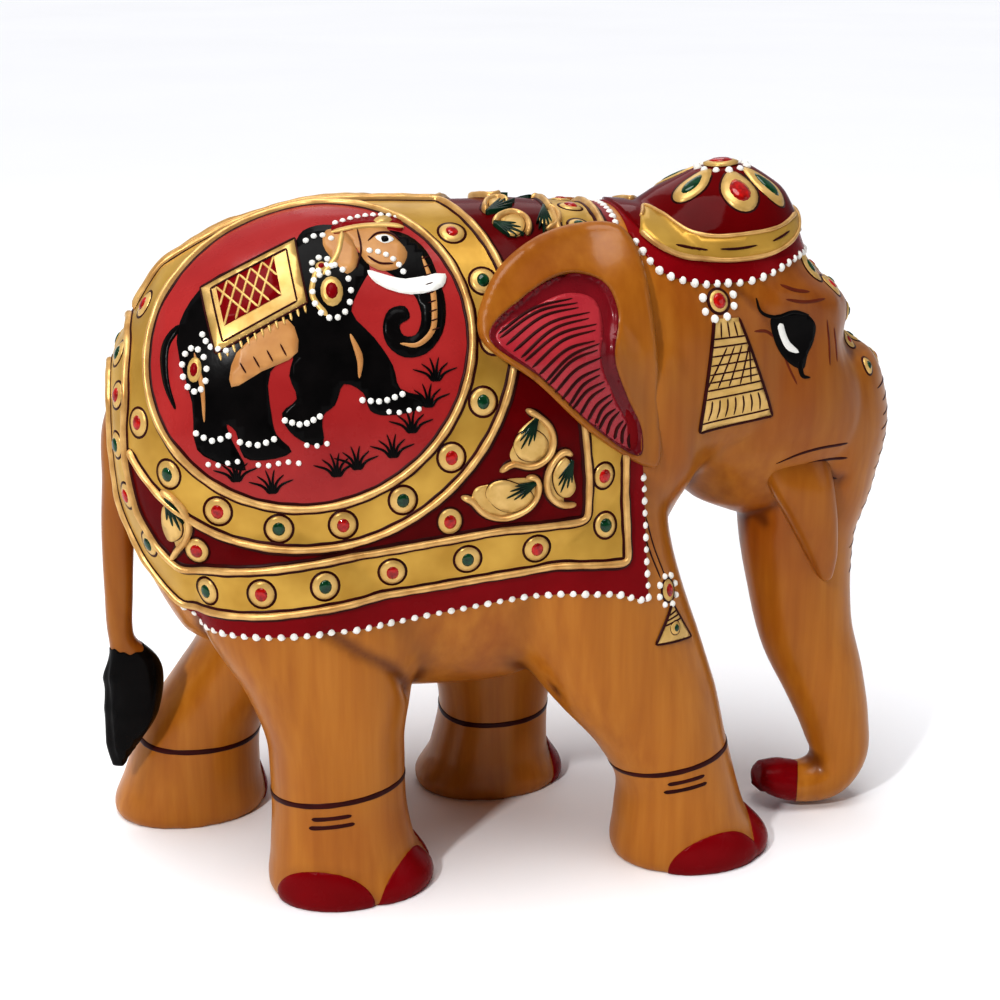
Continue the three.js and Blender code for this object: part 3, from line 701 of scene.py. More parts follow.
def fall(distance, reach):
    """One at no distance, falling smoothly to nothing past its reach."""
    return np.exp(-((distance / reach) ** 2))


def to_line(points, line):
    """The distance from each point to a line in space."""
    return np.min(np.linalg.norm(points[:, None] - even(spline(line), 1.2)[None], axis=2), axis=1)


# Carved creases: where they run, how wide and how deep they are.
CREASES = [
    ([(-40, -33.5, 63.5), (-35, -32.8, 59), (-28, -30, 53), (-22.5, -25, 45)], 2.0, 1.3),
    ([(-20, 33, 63), (-24, 32, 57), (-25, 29.5, 50), (-25.5, 26, 44)], 2.2, 1.3),
    ([(-3, -32, 52), (0, -30, 47), (6, -27, 43), (12, -22, 41)], 2.4, 1.0),
    ([(59, -15.5, 82.2), (66, -15, 84.6), (74, -13.9, 82.0)], 1.5, 0.9),
    ([(59, 15.5, 82.2), (66, 15, 84.6), (74, 13.9, 82.0)], 1.5, 0.9),
    ([(44, -14, 76), (52, -12, 72.5), (58, -9, 71)], 2.0, 0.7),
    ([(44, 14, 76), (52, 12, 72.5), (58, 9, 71)], 2.0, 0.7),
]


# Places on both flanks where parts of the carving run into each other without a crease, and how far around.
JOINS = [((-21, 28, 58), 9), ((1, 28, 56), 9), ((32, 17, 94), 9)]
JAW_JOINS = [((32, 18, 93), 9), ((30, 22, 101), 6)]


def merged(points, surface, joins, rounds=60):
    """Evens the block out round the joins, on both sides."""
    share = np.zeros(len(points))
    for at, reach in joins:
        share = np.maximum(share, fall(np.linalg.norm(points * (1, 0, 1) + np.abs(points) * (0, 1, 0) - at,
                                                      axis=1), reach))
    for _ in range(rounds):
        points = points + share[:, None] * (surface.blurred(points) - points)
    return points


def nail_field(points, leg):
    """Above zero on the nails of a foot."""
    foot_x, side, _ = LEGS[leg]
    ahead, out = (points[:, 0] - foot_x) / 1.25, (points[:, 1] * side - LEG_Y)
    around = np.degrees(np.arctan2(out, ahead))
    near = (np.abs(points[:, 0] - foot_x) < 22) & (np.abs(points[:, 1] * side - LEG_Y) < 18) & (points[:,
        2] < 14)
    field = np.full(len(points), -1.0)
    for middle in NAILS[leg]:
        turn = (around - middle + 180) % 360 - 180
        field = np.maximum(field, 1 - (turn / NAIL_HALF) ** 2 - (points[:, 2] / NAIL_TALL) ** 2)
    return np.where(near, field, -1.0)


EVEN = (1, 1, 1)
# Swellings and hollows on each side of the head: along which line or about which point, how far drawn out on
# each axis, how high, and how far they reach.
SIDE_SHAPES = [
    ([(59.5, -21, 113.5)], (1.1, 1, 1), -1.1, 7.5),  # the eye socket
    ([(55, -20, 123), (62, -18, 123.5), (68, -14, 121.5)], EVEN, 0.9, 3.4),  # the brow
    ([(58, -19, 99), (66, -17, 98), (73, -15, 95)], EVEN, 0.8, 5.0),  # the cheek over the tusk
    ([(30.5, -18, 94)], (1.1, 1, 1.1), 4.2, 9),  # the jowl
    ([(27.5, -27, 111), (30.5, -25, 103), (32.5, -20.5, 94.5)], EVEN, 2.2, 4.4),  # where the ear is set on
    ([(31, -16, 88.5)], EVEN, 2.6, 6.0),  # the throat
]
MIDDLE_SHAPES = [
    ([(51, 0, 147)], (1.3, 1.2, 1), 2.0, 8.5),  # the crown of the head, under the cap
    # The dip between forehead and trunk.
    ([(77.2, -15, 112.9), (81.2, 0, 112.9), (77.2, 15, 112.9)], EVEN, -2.6, 5.2),
]
NAIL_SWELL = 0.9


def swell(points, shapes):
    """How high the shapes raise each point; below zero where they hollow it."""
    height = np.zeros(len(points))
    for line, drawn_out, tall, reach in shapes:
        if len(line) == 1:
            distance = np.linalg.norm((points - line[0]) / drawn_out, axis=1)
        else:
            distance = to_line(points, line)
        height += tall * fall(distance, reach)
    return height


def carve(points, surface):
    """Cuts the creases and raises the swellings and the toes."""
    height = swell(points, MIDDLE_SHAPES)
    for line, width, deep in CREASES:
        height -= deep * fall(to_line(points, line), width)
    for side in SIDES.values():
        height += swell(points * (1, -side, 1), SIDE_SHAPES)
    for leg in LEGS:
        height += NAIL_SWELL * np.sqrt(np.clip(nail_field(points, leg), 0, 1))
    return points + surface.normals * height[:, None]


def fine_body():
    """The block, smoothed and carved, with flat soles."""
    points, faces = block()
    surface = Surface(points, faces)
    points = merged(smoothed(points, surface, 9), surface, JOINS)
    surface = Surface(points, faces)
    points = merged(carve(points, surface), surface, JAW_JOINS)
    points[:, 2] = np.maximum(points[:, 2], 0.0)
    return Surface(points, faces)


def hollow_shade_of(surface, rounds=14, full=0.22):
    """How hollow the surface is at each vertex: painted shade darkens the wood there."""
    blurred = surface.points
    for _ in range(rounds):
        blurred = surface.blurred(blurred)
    hollow = np.einsum("ij,ij->i", blurred - surface.points, surface.normals) / full
    return surface.blurred(np.clip(hollow, 0, 1) ** 1.3)


BODY = fine_body()
# Painted shade: the wood is darker over the head, growing forward of the shoulder and up from the jaw.
HEAD_SHADE = 0.3 * np.clip((BODY.points[:, 0] - 22) / 16, 0, 1) * np.clip((BODY.points[:, 2] - 78) / 24, 0, 1)
# Painted shade: the wood is darkened in its hollows and over the head.
publish("wood_body", BODY.points, BODY.faces, WOOD, ["carved_body"],
        {"painted_shade": np.maximum(hollow_shade_of(BODY) * 0.85, HEAD_SHADE)})
X, Y, Z = BODY.points.T
MIRRORED = BODY.points * (1, -1, 1)

# ---------------------------------------------------------------- fields over the block


def signed(drawn, outline):
    """How far inside a closed outline each point is, below zero outside."""
    drawn, outline = np.asarray(drawn, float), np.asarray(outline, float)
    best = np.full(len(drawn), 1e9)
    for a, b in zip(outline, np.roll(outline, -1, axis=0)):
        along = b - a
        share = np.clip(((drawn - a) @ along) / max(along @ along, 1e-9), 0, 1)
        best = np.minimum(best, np.linalg.norm(drawn - a - share[:, None] * along, axis=1))
    return np.where(inside(drawn, outline), best, -best)


SIDEWAYS = np.column_stack([X, Z])
REARWARD = np.column_stack([Y, Z])
SKY = 170.0
HEM = {
    "edge": [(-95, 62.4), (-68, 62.6), (-46, 63.4), (-25, 63.8), (-5, 66.8), (8, 68.2), (18.5, 67.4),
             (25.6, 64.6)],
    "outer": [(-95, 66), (-75, 66.6), (-53, 67.9), (-36, 69.4), (-9.5, 72.6), (7, 74.3), (20.8, 73.6)],
    "inner": [(-95, 74.6), (-75, 75.2), (-55, 77.2), (-39.5, 78.7), (-25.7, 80.5), (-5.7, 83), (12.2, 83.3)],
}
CHEST = {
    "edge": [(25.2, 72), (25.0, 88), (23.6, 102), (22.2, 120), (22.6, SKY)],
    "outer": [(20.4, 90), (20.0, 104), (19.6, 120), (19.4, SKY)],
    "inner": [(12.3, 92), (11.2, 104), (10, 120), (9.9, SKY)],
}
ARCH = [(26, 58), (20.5, 66), (13.5, 74), (9, 83), (7, 95), (6, 105), (3.5, 109.5), (0, 111)]
ARCH_MARGIN = {"edge": 0.0, "outer": 1.5, "inner": 10.4}


def cloth_field(line):
    """Above zero inside one of the cloth's outlines."""
    side = signed(SIDEWAYS, HEM[line] + CHEST[line] + [(-95, SKY)])
    arch = ARCH + [(-y, z) for y, z in ARCH[-2::-1]]
    rear = -signed(REARWARD, arch) - ARCH_MARGIN[line]
    return np.minimum(side, np.where(X < -40, rear, 99.0))


# The block's points, moved along the flanks' lean back onto the flank planes.
INWARD = FLANK_PLANE - np.abs(Y)
FLANKWISE = np.column_stack([X - INWARD * LEAN_AHEAD, Z + INWARD * LEAN_DOWN])
OVAL_AT, OVAL_HALF = (-42.8, 121.2), (31.0, 31.0)
OVAL_GAP = 1.6  # between the two ovals, over the spine
OVAL_MARGIN = 0.9  # from OVAL_HALF out to the oval line
RING = 8.5  # from the oval line to the ring line


def oval_field(grow):
    """Above zero inside the ovals drawn on both flanks."""
    half = np.array(OVAL_HALF) + grow
    share = (FLANKWISE - OVAL_AT) / half
    return np.minimum((1 - np.hypot(*share.T)) * half[1], np.abs(Y) - OVAL_GAP / 2)


FIELD = {line: cloth_field(line) for line in HEM}
# The border is left out where the ears rest on the neck.
EAR_REST = signed(FLANKWISE, [(16.8, 99), (25, 94), (25, 111), (16.8, 111)])
OVAL, HOOP = oval_field(OVAL_MARGIN), oval_field(OVAL_MARGIN + RING)


def lay(name, field, height, material, slot, *replaces):
    """A coat over the part of the block where field is above zero."""
    points, faces = skin(BODY, field, height)
    return publish(name, points, faces, material, replaces)


lay("cloth_hem", np.minimum(FIELD["edge"], -FIELD["outer"]), CLOTH, CRIMSON, "crimson_lacquer")
lay("cloth_field", np.minimum(FIELD["inner"], -HOOP), CLOTH, RED_GROUND, "red_lacquer", "saddle_cloth")
lay("cloth_border", np.minimum.reduce([FIELD["outer"], -FIELD["inner"], -EAR_REST]), BAND, GOLD, "gold_paste")
lay("oval_band", np.minimum.reduce([HOOP, -OVAL, FIELD["inner"]]), BAND, GOLD, "gold_paste")
lay("oval_panels", OVAL, PANEL, PANEL_RED, "crimson_lacquer", "oval_panel_right", "oval_panel_left")

# Nothing raised is laid where the ears lie close over the neck.
EAR_COVER = [(28, 96), (19.5, 98.6), (14.5, 102.6), (9, 110), (5, 117), (5, 124), (7, 134), (14, 141),
             (21, 142.5), (28, 140)]
OPEN = ~inside(FLANKWISE, np.array(EAR_COVER, float))

RIDGES = {
    "paste_border_outer": (FIELD["outer"], OPEN, ["border_ridge_outer", "neck_ridge_front"]),
    "paste_border_inner": (FIELD["inner"], OPEN, ["border_ridge_inner", "neck_ridge_back"]),
    "paste_oval": (OVAL, None, ["oval_ridge_right", "oval_ridge_left"]),
    "paste_ring": (HOOP, OPEN & (FIELD["inner"] > 0.8), ["ring_ridge_right", "ring_ridge_left",
                                                         "ring_top_right", "ring_top_left"]),
}
outlines = Heap()
for name, (field, where, replaced) in RIDGES.items():
    heap = Heap()
    for line, closed in contour(BODY, field, where):
        if len(line) < 12:
            continue
        heap.add(*ridge(BODY, line, closed=closed, lift=BAND - 0.1))
        outlines.add(*ridge(BODY, line, RIDGE_WIDTH + 1.3, 0.16, BAND, closed))
    heap.publish(name, GOLD_LIGHT, "gold_paste", replaced)
outlines.publish("paste_outlines", MAROON)

# ---------------------------------------------------------------- pearls, stones and leaves on the cloth

PEARL_HALF, PEARL_STEP = 0.95, 2.5


def pearls(heap, surface, spots, half=PEARL_HALF, lift=CLOTH):
    """Round dots of enamel, no two quite the same size."""
    for n, spot in enumerate(spots):
        size = half * (1 + 0.08 * math.sin(2.3 * n))
        heap.add(*boss(surface, spot, (size, size * 0.92), 0.8 * size, lift=lift, rings=3, around=10))


class Jewels:
    """The stones of a setting: dark outlines, pale gold discs and stones, each gathered into a piece."""

    def __init__(self):
        self.rims, self.discs, self.stones = Heap(), Heap(), {"r": Heap(), "g": Heap()}

    def set(self, surface, spot, color, disc=(2.75, 2.6), stone=(1.45, 1.25), lift=BAND, rim=0.42, up=UP,
            turn=0.0, point=0.0):
        if rim:
            wide = (disc[0] + rim, disc[1] + rim)
            self.rims.add(*boss(surface, spot, wide, 0.1, turn, lift, 3, 24, up, point))
        self.discs.add(*boss(surface, spot, disc, 0.45, turn, lift, 4, 24, up, point))
        self.stones[color].add(*boss(surface, spot, stone, 0.36, turn, lift + 0.38, 3, 14, up, point))

    def publish(self, name, mirror=True, replaces=()):
        for heap, part, paint, slot in (
            (self.rims, "rims", MAROON, None), (self.discs, "discs", GOLD_DISC, "gold_paste"),
            (self.stones["r"], "rubies", RUBY, "glass_stone"),
            (self.stones["g"], "emeralds", EMERALD, "glass_stone"),
        ):
            if heap.count:
                if mirror:
                    heap.both()
                heap.publish(f"{name}_{part}", paint, slot, replaces if part == "rubies" else ())


def on_side(x, z):
    """The place on the right side of the block at x and z."""
    (spot,), _ = from_side(BODY, np.array([(x, z)]))
    return spot


def hem_middle(x):
    """The height of the middle of the lower border."""
    return (through(x, HEM["outer"]) + through(x, HEM["inner"])) / 2


border = Jewels()
for n, x in enumerate((1.7, -12.3, -27.3, -40.8, -53.0, -63.2)):
    border.set(BODY, on_side(x, hem_middle(x)), "rg"[n % 2])
for n, (x, z) in enumerate(((16.0, 81.9), (15.5, 92.4))):
    border.set(BODY, on_side(x, z), "gr"[n % 2], disc=(2.6, 2.2))
ARCH_STONES = [(-19.6, 79.5), (-15.6, 88.5), (-13.6, 98.5), (-12.2, 108.2), (-6.4, 115.2)]
for n, (y, z) in enumerate(ARCH_STONES):
    (spot,), _ = BODY.cast([(-REACH, y, z)], AHEAD)
    border.set(BODY, spot, "gr"[n % 2], disc=(2.6, 2.3))
for n, y in enumerate((-4.4, -12.6)):
    (spot,), _ = BODY.cast([(14.8, y, SKY)], (0, 0, -1))
    border.set(BODY, spot, "rg"[n % 2], disc=(2.4, 2.4))
border.publish("border")

ring = Jewels()
RING_MIDDLE = 5.1  # from OVAL_HALF out to the stones between the two lines
RING_HALF = (OVAL_HALF[0] + RING_MIDDLE, OVAL_HALF[1] + RING_MIDDLE)
RING_STEP, RING_START = 20, -20
for n in range(360 // RING_STEP):
    angle = RING_START - RING_STEP * n
    (at,) = arc(OVAL_AT, RING_HALF, angle, angle, 1)
    (spot,), _ = from_flank(BODY, np.array([at]))
    corner = BODY.triangles[BODY.tree.find_nearest(Vector(spot))[2]][0]
    on_band = FIELD["inner"][corner] > 3.2 and OVAL[corner] < -2 and HOOP[corner] > 2
    if on_band and OPEN[corner] and spot[1] < -4:
        ring.set(BODY, spot, "gr"[n % 2])
ring.publish("ring")

field_stones = Jewels()
for x, z in ((-15.9, 85.6), (-64.8, 80.6)):
    field_stones.set(BODY, on_side(x, z), "r", disc=(2.7, 2.4), lift=CLOTH + 0.15, rim=0.3)
field_stones.publish("field", replaces=[f"field_stone_{end}_{side}" for end in ("front", "back")
                                        for side in SIDES])

# Paisley leaves: the raised outline, the swelling inside it, and where the ink strokes spring from.
PAISLEYS = [
    ([(-0.8, 107.2), (1.6, 105.8), (3.9, 103.7), (4.9, 101.0), (4.2, 98.2), (2.2, 96.3), (-0.6, 95.8),
      (-3.4, 96.6), (-6.2, 94.9)],
     [(-3.2, 100.2), (-2.2, 102.3), (0, 103.2), (2.2, 102.4), (3.6, 100.4), (2.9, 98.2), (0.9, 97.0),
      (-1.8, 97.6)],
     (1.4, 104.9), (-0.6, -1.0)),
    ([(-14.0, 90.6), (-11.8, 89.8), (-9.8, 87.4), (-7.4, 85.9), (-4.7, 85.6), (-1.6, 86.5), (0.9, 88.5),
      (1.9, 91.2), (1.2, 93.5), (-1.0, 93.6)],
     [(-8.8, 90.6), (-8.0, 92.7), (-5.5, 93.5), (-2.7, 92.6), (-0.4, 91.3), (0.6, 89.7), (-1.0, 87.8),
      (-3.8, 86.9), (-6.6, 87.9)],
     (0.9, 92.4), (-1.0, -0.45)),
    ([(8.9, 97.0), (7.4, 98.3), (5.2, 97.1), (3.7, 94.2), (3.5, 91.2), (4.6, 88.8), (6.9, 87.3),
      (10.0, 87.2)],
     [(7.0, 97.2), (8.3, 95.8), (8.8, 93.0), (9.2, 90.6), (8.0, 89.1), (6.2, 89.4), (4.9, 91.6), (4.8, 94.6)],
     (8.4, 96.0), (-0.4, -1.0)),
    ([(-70.9, 92.6), (-68.6, 91.3), (-66.6, 88.6), (-65.9, 85.6), (-66.8, 82.6), (-68.4, 80.2),
      (-69.6, 77.6)],
     [(-70.0, 89.6), (-68.4, 88.6), (-67.2, 86.0), (-67.6, 83.4), (-69.4, 82.2), (-70.6, 85.2)],
     (-69.4, 90.8), (0.35, -1.0)),
]


def moved(drawn, turn, size, to):
    """A drawing turned about (1, 101), resized and moved there."""
    drawn = (np.array(drawn, float) - (1, 101)) * size
    c, s = math.cos(math.radians(turn)), math.sin(math.radians(turn))
    return np.column_stack([drawn[:, 0] * c - drawn[:, 1] * s, drawn[:, 0] * s + drawn[:, 1] * c]) + to


def leaf_set():
    """Each leaf's outline, swelling, root, direction and projection, with three small ones on the back."""
    for outline, swelling, root, aim in PAISLEYS:
        yield outline, swelling, root, aim, from_side
    outline, swelling, root, aim = PAISLEYS[0]
    for turn, size, to in ((95, 0.72, (-3.4, 145.8)), (30, 0.55, (4.4, 147.6)), (150, 0.5, (-6.6, 150.6))):
        swing = moved([root, np.add(root, aim)], turn, size, to)
        yield moved(outline[1:-1], turn, size, to), moved(swelling, turn, size,
                                                          to), swing[0], swing[1] - swing[0], from_flank


def leaves():
    """The leaves on the cloth: fills, rims, ink lines and shading."""
    fills, rims, ink, shade = Heap(), Heap(), Heap(), Heap()
    for outline, swelling, root, aim, laid in leaf_set():
        ends = np.array(outline[1:-1], float)
        middle = np.array(swelling, float)
        far = middle[np.argmax(np.linalg.norm(middle - ends.mean(axis=0), axis=1))]
        whole = np.vstack([spline(ends, 5),
                           spline([ends[-1], (ends[-1] + far) / 2 + (far - ends.mean(axis=0)) * 0.12, far,
                           (ends[0] + far) / 2 + (far - ends.mean(axis=0)) * 0.2, ends[0]], 4)[1:-1]])
        fills.add(*patch(BODY, laid, whole, CLOTH + 0.3, 1.0))
        fills.add(*patch(BODY, laid, spline(swelling, 5, True), CLOTH + 0.8, 1.0))
        shade.add(*stroke(BODY, laid, np.vstack([swelling, swelling[:1]]), 0.5, 0.1, CLOTH + 0.32,
                          (0.02, 0.02)))
        line, _ = laid(BODY, spline(outline, 6))
        rims.add(*ridge(BODY, line, 1.35, 1.35, CLOTH, step=0.5))
        shade.add(*ridge(BODY, line, 2.4, 0.12, CLOTH, step=0.5))
        aim = unit(np.array(aim))
        for k in range(5):
            turn = math.radians(11 * (k - 2))
            way = np.array((aim[0] * math.cos(turn) - aim[1] * math.sin(turn),
                            aim[0] * math.sin(turn) + aim[1] * math.cos(turn)))
            reach = 6.2 - 1.1 * abs(k - 2)
            path = [np.array(root) + way * s for s in (-0.6, reach * 0.5, reach)]
            ink.add(*stroke(BODY, laid, path, 1.0, 0.08, CLOTH + 0.85, (0.05, 0.85)))
    for heap, name, paint in ((fills, "leaf_fills", GOLD_DISC), (rims, "leaf_rims", GOLD_LIGHT),
                              (ink, "leaf_ink", GREEN_INK), (shade, "leaf_shade", MAROON)):
        heap.both().publish(name, paint, "gold_paste" if heap in (fills, rims) else None,
                            [f"leaf_{side}_{k}" for side in SIDES for k in (1, 2, 3, 4)] if heap is fills
                            else ())


leaves()

edge_pearls = Heap()
ROUND_TAIL = (X < -60) & (np.abs(Y) < 19)
UNDER_EARS = (Z > 91) & (Z < 131) & (np.abs(Y) > 14)
for line, closed in contour(BODY, FIELD["edge"], OPEN & ~ROUND_TAIL & ~UNDER_EARS):
    if len(line) > 20:
        pearls(edge_pearls, BODY, even(line, PEARL_STEP, closed), lift=0.0)
edge_pearls.publish("cloth_pearls", PEARL, "pearl_paint")

# ---------------------------------------------------------------- the painted elephant on each side

# Its parts, drawn in the flank plane: the ground is the oval panel.
BLACK_COAT = [
    (-67.3, 132.7), (-69, 126.5), (-66.8, 114), (-66.8, 104.6), (-62.5, 101.5), (-58, 99.9), (-60, 106.2),
    (-60.6, 109.3),
    (-59, 107.8), (-58, 102.5), (-54, 101.7), (-49, 103.1), (-51.5, 106.7), (-52, 110.4), (-51.5, 119.2),
    (-47, 122.3),
    (-48, 118.2), (-47, 113.5), (-50, 110.9), (-49, 107.2), (-46, 104.6), (-43, 104.1), (-42.5, 109.8),
    (-40, 111.9),
    (-38, 116), (-34.5, 114), (-33.5, 110.4), (-31, 109.3), (-24, 110.4), (-23, 112.4), (-27.5, 114.5),
    (-28.5, 119.2),
    (-31.5, 124.9), (-35.5, 130.6), (-33.5, 135.6), (-31.5, 139.5), (-33, 142.6), (-36, 144.5), (-36, 148.3),
    (-40, 149.6),
    (-44, 148.4), (-46, 145.3), (-55, 142), (-62.5, 138.6),
]
TRUNK_COAT = [
    (-28.5, 147.5), (-24, 146.5), (-20.4, 142.6), (-18.6, 137), (-17.6, 131.5), (-18.6, 125.5), (-22, 121.4),
    (-26.2, 120.8),
    (-29.2, 123.4), (-29.8, 127.2), (-28.4, 130.6), (-25.4, 131.2), (-24.6, 128.8), (-26.6, 127.4),
    (-26, 125.2),
    (-23.8, 125.2), (-22.4, 128.4), (-23, 132.6), (-25.6, 136.4), (-29, 139.2), (-31.6, 141.4),
]
FACE = [(-36, 148.3), (-29, 148.9), (-26.4, 146), (-24.2, 142.5), (-25.5, 139.5), (-29, 138.8), (-32, 140.6),
        (-33.6, 143.6)]
EAR_FLAP = [(-39.5, 148.2), (-36.2, 147.8), (-34.2, 144.6), (-33.6, 140.6), (-35.8, 138.4), (-38, 141),
            (-40.2, 145)]
BELLY = [(-57.5, 123.4), (-47.5, 129.6), (-46, 122.9), (-53, 119.4), (-59, 116.6)]
SADDLE = [(-64, 137.4), (-45.5, 146.7), (-43.5, 132.7), (-61.5, 123.4)]
LATTICE = [(-60.8, 137.2), (-49.6, 142.8), (-48.4, 134.6), (-59.4, 129.0)]
CROWN = [(-38.5, 149.0), (-34, 150.8), (-27, 151.0), (-24.8, 149.4), (-25.0, 147.6), (-28, 148.4),
         (-34, 148.2), (-38, 147.2)]
IVORY = [(-32, 138.9), (-28, 137.6), (-24.8, 136.8), (-17.2, 137.6), (-17.8, 135.0), (-24, 133.6),
         (-30.4, 136.2)]
CLOVEN = [(-65, 101.5, 4), (-55.5, 100.8, 5), (-46, 104.2, 3), (-30, 110, 4)]
ANKLES = [
    [(-66.6, 107.9), (-63.6, 106.2), (-60.4, 107.0)], [(-58.4, 105.6), (-55.2, 104.8), (-52.0, 105.8)],
    [(-49.6, 109.4), (-46.4, 108.4), (-43.0, 109.8)], [(-34.8, 112.6), (-31.0, 112.2), (-27.2, 113.4)],
]


def within(corners, u, v):
    """A place inside a four-cornered shape, by shares along its first side and from it."""
    a, b, c, d = (np.array(corner, float) for corner in corners)
    return (a * (1 - u) + b * u) * (1 - v) + (d * (1 - u) + c * u) * v


def painting():
    """What is painted inside the ovals."""
    ground = PANEL + 0.06
    black, tan, gold, red, ink, white, dots, grass = (Heap() for _ in range(8))

    def fitted(drawn):
        """Leaned back and set inside the oval."""
        x, z = np.array(drawn, float).T
        return np.column_stack([1.02 * x + 3.8 - 0.08 * (z - 105), 102.9 + 0.99 * (z - 105)])

    def fill(heap, outline, height, rounded=True):
        outline = fitted(outline)
        edge = spline(outline, 3, True) if rounded else np.vstack([
            even(np.array([outline[k], outline[(k + 1) % len(outline)]], float), 1.2)[:-1]
            for k in range(len(outline))])
        heap.add(*patch(BODY, from_flank, edge, ground + height, 1.6))

    def draw(heap, path, width, height, taper=(0.2, 0.2)):
        heap.add(*stroke(BODY, from_flank, fitted(path), width, 0.08, ground + height, taper))

    fill(black, BLACK_COAT, 0.06)
    draw(black, [(-68.4, 130), (-71.2, 126), (-71.6, 119), (-70.2, 113)], 2.2, 0.02, (0.1, 0.6))
    fill(black, TRUNK_COAT, 0.09)
    fill(tan, FACE, 0.15)
    fill(tan, EAR_FLAP, 0.18)
    fill(tan, BELLY, 0.12)
    draw(tan, [(-21.4, 141.6), (-20.0, 136.0), (-19.8, 130.0), (-20.6, 125.8), (-23.6, 123.2),
               (-26.8, 123.6)], 1.5, 0.15, (0.3, 0.2))
    draw(tan, [(-65.6, 124), (-64.6, 117), (-64.8, 110)], 1.4, 0.1, (0.5, 0.6))
    draw(tan, [(-36, 126), (-34.6, 121), (-35, 117)], 1.8, 0.1, (0.5, 0.5))
    for k in range(9):
        low = within([(-21.6, 141.0), (-20.6, 126.0), (-18.4, 126.4), (-19.2, 140.4)], k / 8, 0.0)
        draw(ink, [low, low + (1.6, 0.5)], 0.35, 0.24)
    for k in range(4):
        draw(ink, [(-57 + 2.6 * k, 121.4 + 1.1 * k), (-56 + 2.6 * k, 119.2 + 1.0 * k)], 0.4, 0.2)
    fill(gold, SADDLE, 0.22, rounded=False)
    fill(red, LATTICE, 0.36, rounded=False)
    for k in range(6):
        for start, stop in (((k / 5, 0), (max(k / 5 - 0.4, 0), min(k / 2, 1))),
                            ((k / 5, 0), (min(k / 5 + 0.4, 1), min((5 - k) / 2, 1)))):
            draw(gold, [within(LATTICE, *start), within(LATTICE, *stop)], 0.6, 0.4, (0.02, 0.02))
    for inset in (0.0, 0.1):
        corners = [(inset, inset), (1 - inset, inset), (1 - inset, 1 - inset), (inset, 1 - inset)]
        for a, b in zip(corners, corners[1:] + corners[:1]):
            draw(ink, [within(SADDLE, *a), within(SADDLE, *b)], 0.45, 0.34, (0.02, 0.02))
    for k in range(13):
        u = (k + 0.5) / 13
        draw(gold, [within(SADDLE, u, 0.97), within(SADDLE, u, 1.12)], 0.7, 0.22, (0.1, 0.3))
    fill(red, CROWN, 0.24)
    draw(gold, [(-38.6, 147.6), (-33, 148.8), (-27, 148.8), (-24.6, 148.2)], 1.3, 0.3, (0.1, 0.1))
    fill(gold, [(-30.4, 150.0), (-28.6, 151.2), (-26.8, 150.0), (-28.6, 149.2)], 0.34)
    draw(gold, [(-36.5, 147.6), (-37.6, 142.6), (-40.4, 138.4)], 1.4, 0.3, (0.1, 0.1))
    draw(gold, [(-41.6, 139.6), (-42.6, 134.4), (-40.0, 129.8)], 1.4, 0.22, (0.1, 0.1))
    fill(white, IVORY, 0.3)
    fill(white, [(-30.2, 146.2), (-28.2, 146.7), (-26.6, 145.5), (-28.4, 144.7)], 0.24)
    fill(black, [(-29.0, 146.1), (-27.9, 146.2), (-27.7, 145.2), (-28.8, 145.0)], 0.32)
    draw(ink, [(-31.6, 145.4), (-29.8, 147.0), (-27.2, 146.9), (-25.6, 145.4)], 0.45, 0.28)
    draw(ink, [(-33.6, 148.2), (-33.0, 143.6), (-34.0, 139.4)], 0.45, 0.28)
    draw(ink, [(-31.8, 142.0), (-29.6, 140.4), (-27.0, 140.2)], 0.45, 0.28)

    def place(spot, half=0.62, height=0.3):
        (at,), _ = from_flank(BODY, fitted([spot]))
        dots.add(*boss(BODY, at, (half, half), 0.5 * half, lift=ground + height, rings=2, around=8))

    for middle, half, count in (((-65.8, 120.6), (2.4, 4.4), 11), ((-38.9, 134.9), (3.6, 5.6), 14),
                                ((-40.6, 140.2), (1.9, 1.9), 7)):
        for spot in arc(middle, half, 0, 360 - 360 / count, count):
            place(spot)
        (at,), _ = from_flank(BODY, fitted([middle]))
        gold.add(*boss(BODY, at, (half[1] * 0.55, half[0] * 0.6), 0.3, lift=ground + 0.2, rings=3, around=14))
        red.add(*boss(BODY, at, (half[1] * 0.3, half[0] * 0.32), 0.25, lift=ground + 0.45, rings=2,
                      around=10))
    for path in ANKLES + [[(-43.4, 146.0), (-41, 147.2), (-38.6, 146.2)],
                          [(-37.8, 149.8), (-33, 151.2), (-28.6, 151.4), (-26, 150.9)],
                          [(-31.4, 143.2), (-29, 142.6), (-26.4, 140.6), (-25.2, 138.4)],
                          [(-63.8, 127.6), (-62.4, 125.0), (-59.4, 124.0)]]:
        for spot in even(spline(path, 6), 1.55):
            place(spot)
    for x, z, count in CLOVEN:
        for k in range(count):
            place((x + 1.9 * k, z - 0.25 * math.sin(k * 1.7)), 0.55, 0.12)
    for x, z in ((-60, 97.6), (-53.5, 94.8), (-41, 97.4), (-37, 98.6), (-30, 100.6),
                 (-26, 105.4), (-22.4, 110.4), (-20.6, 115.6)):
        for k in range(6):
            lean = (k - 2.5) * 1.35
            tall = 5.4 - abs(k - 2.5) * 1.1
            draw(grass, [(x + lean * 0.15, z), (x + lean * 0.5, z + tall * 0.6),
                         (x + lean * 1.25, z + tall)], 0.75, 0.02, (0.05, 0.8))
    for heap, name, paint, slot in (
        (grass, "painted_grass", BLACK, "black_paint"),
        (black, "painted_coat", BLACK, "black_paint"), (tan, "painted_tan", TAN, None),
        (gold, "painted_gold", GOLD_DISC, "gold_paste"),
        (red, "painted_red", CRIMSON, "crimson_lacquer"), (ink, "painted_ink", MAROON, None),
        (white, "painted_white", PEARL, "pearl_paint"),
        (dots, "painted_dots", PEARL, "pearl_paint"),
    ):
        heap.both().publish(name, paint, slot)


painting()

# ---------------------------------------------------------------- ears

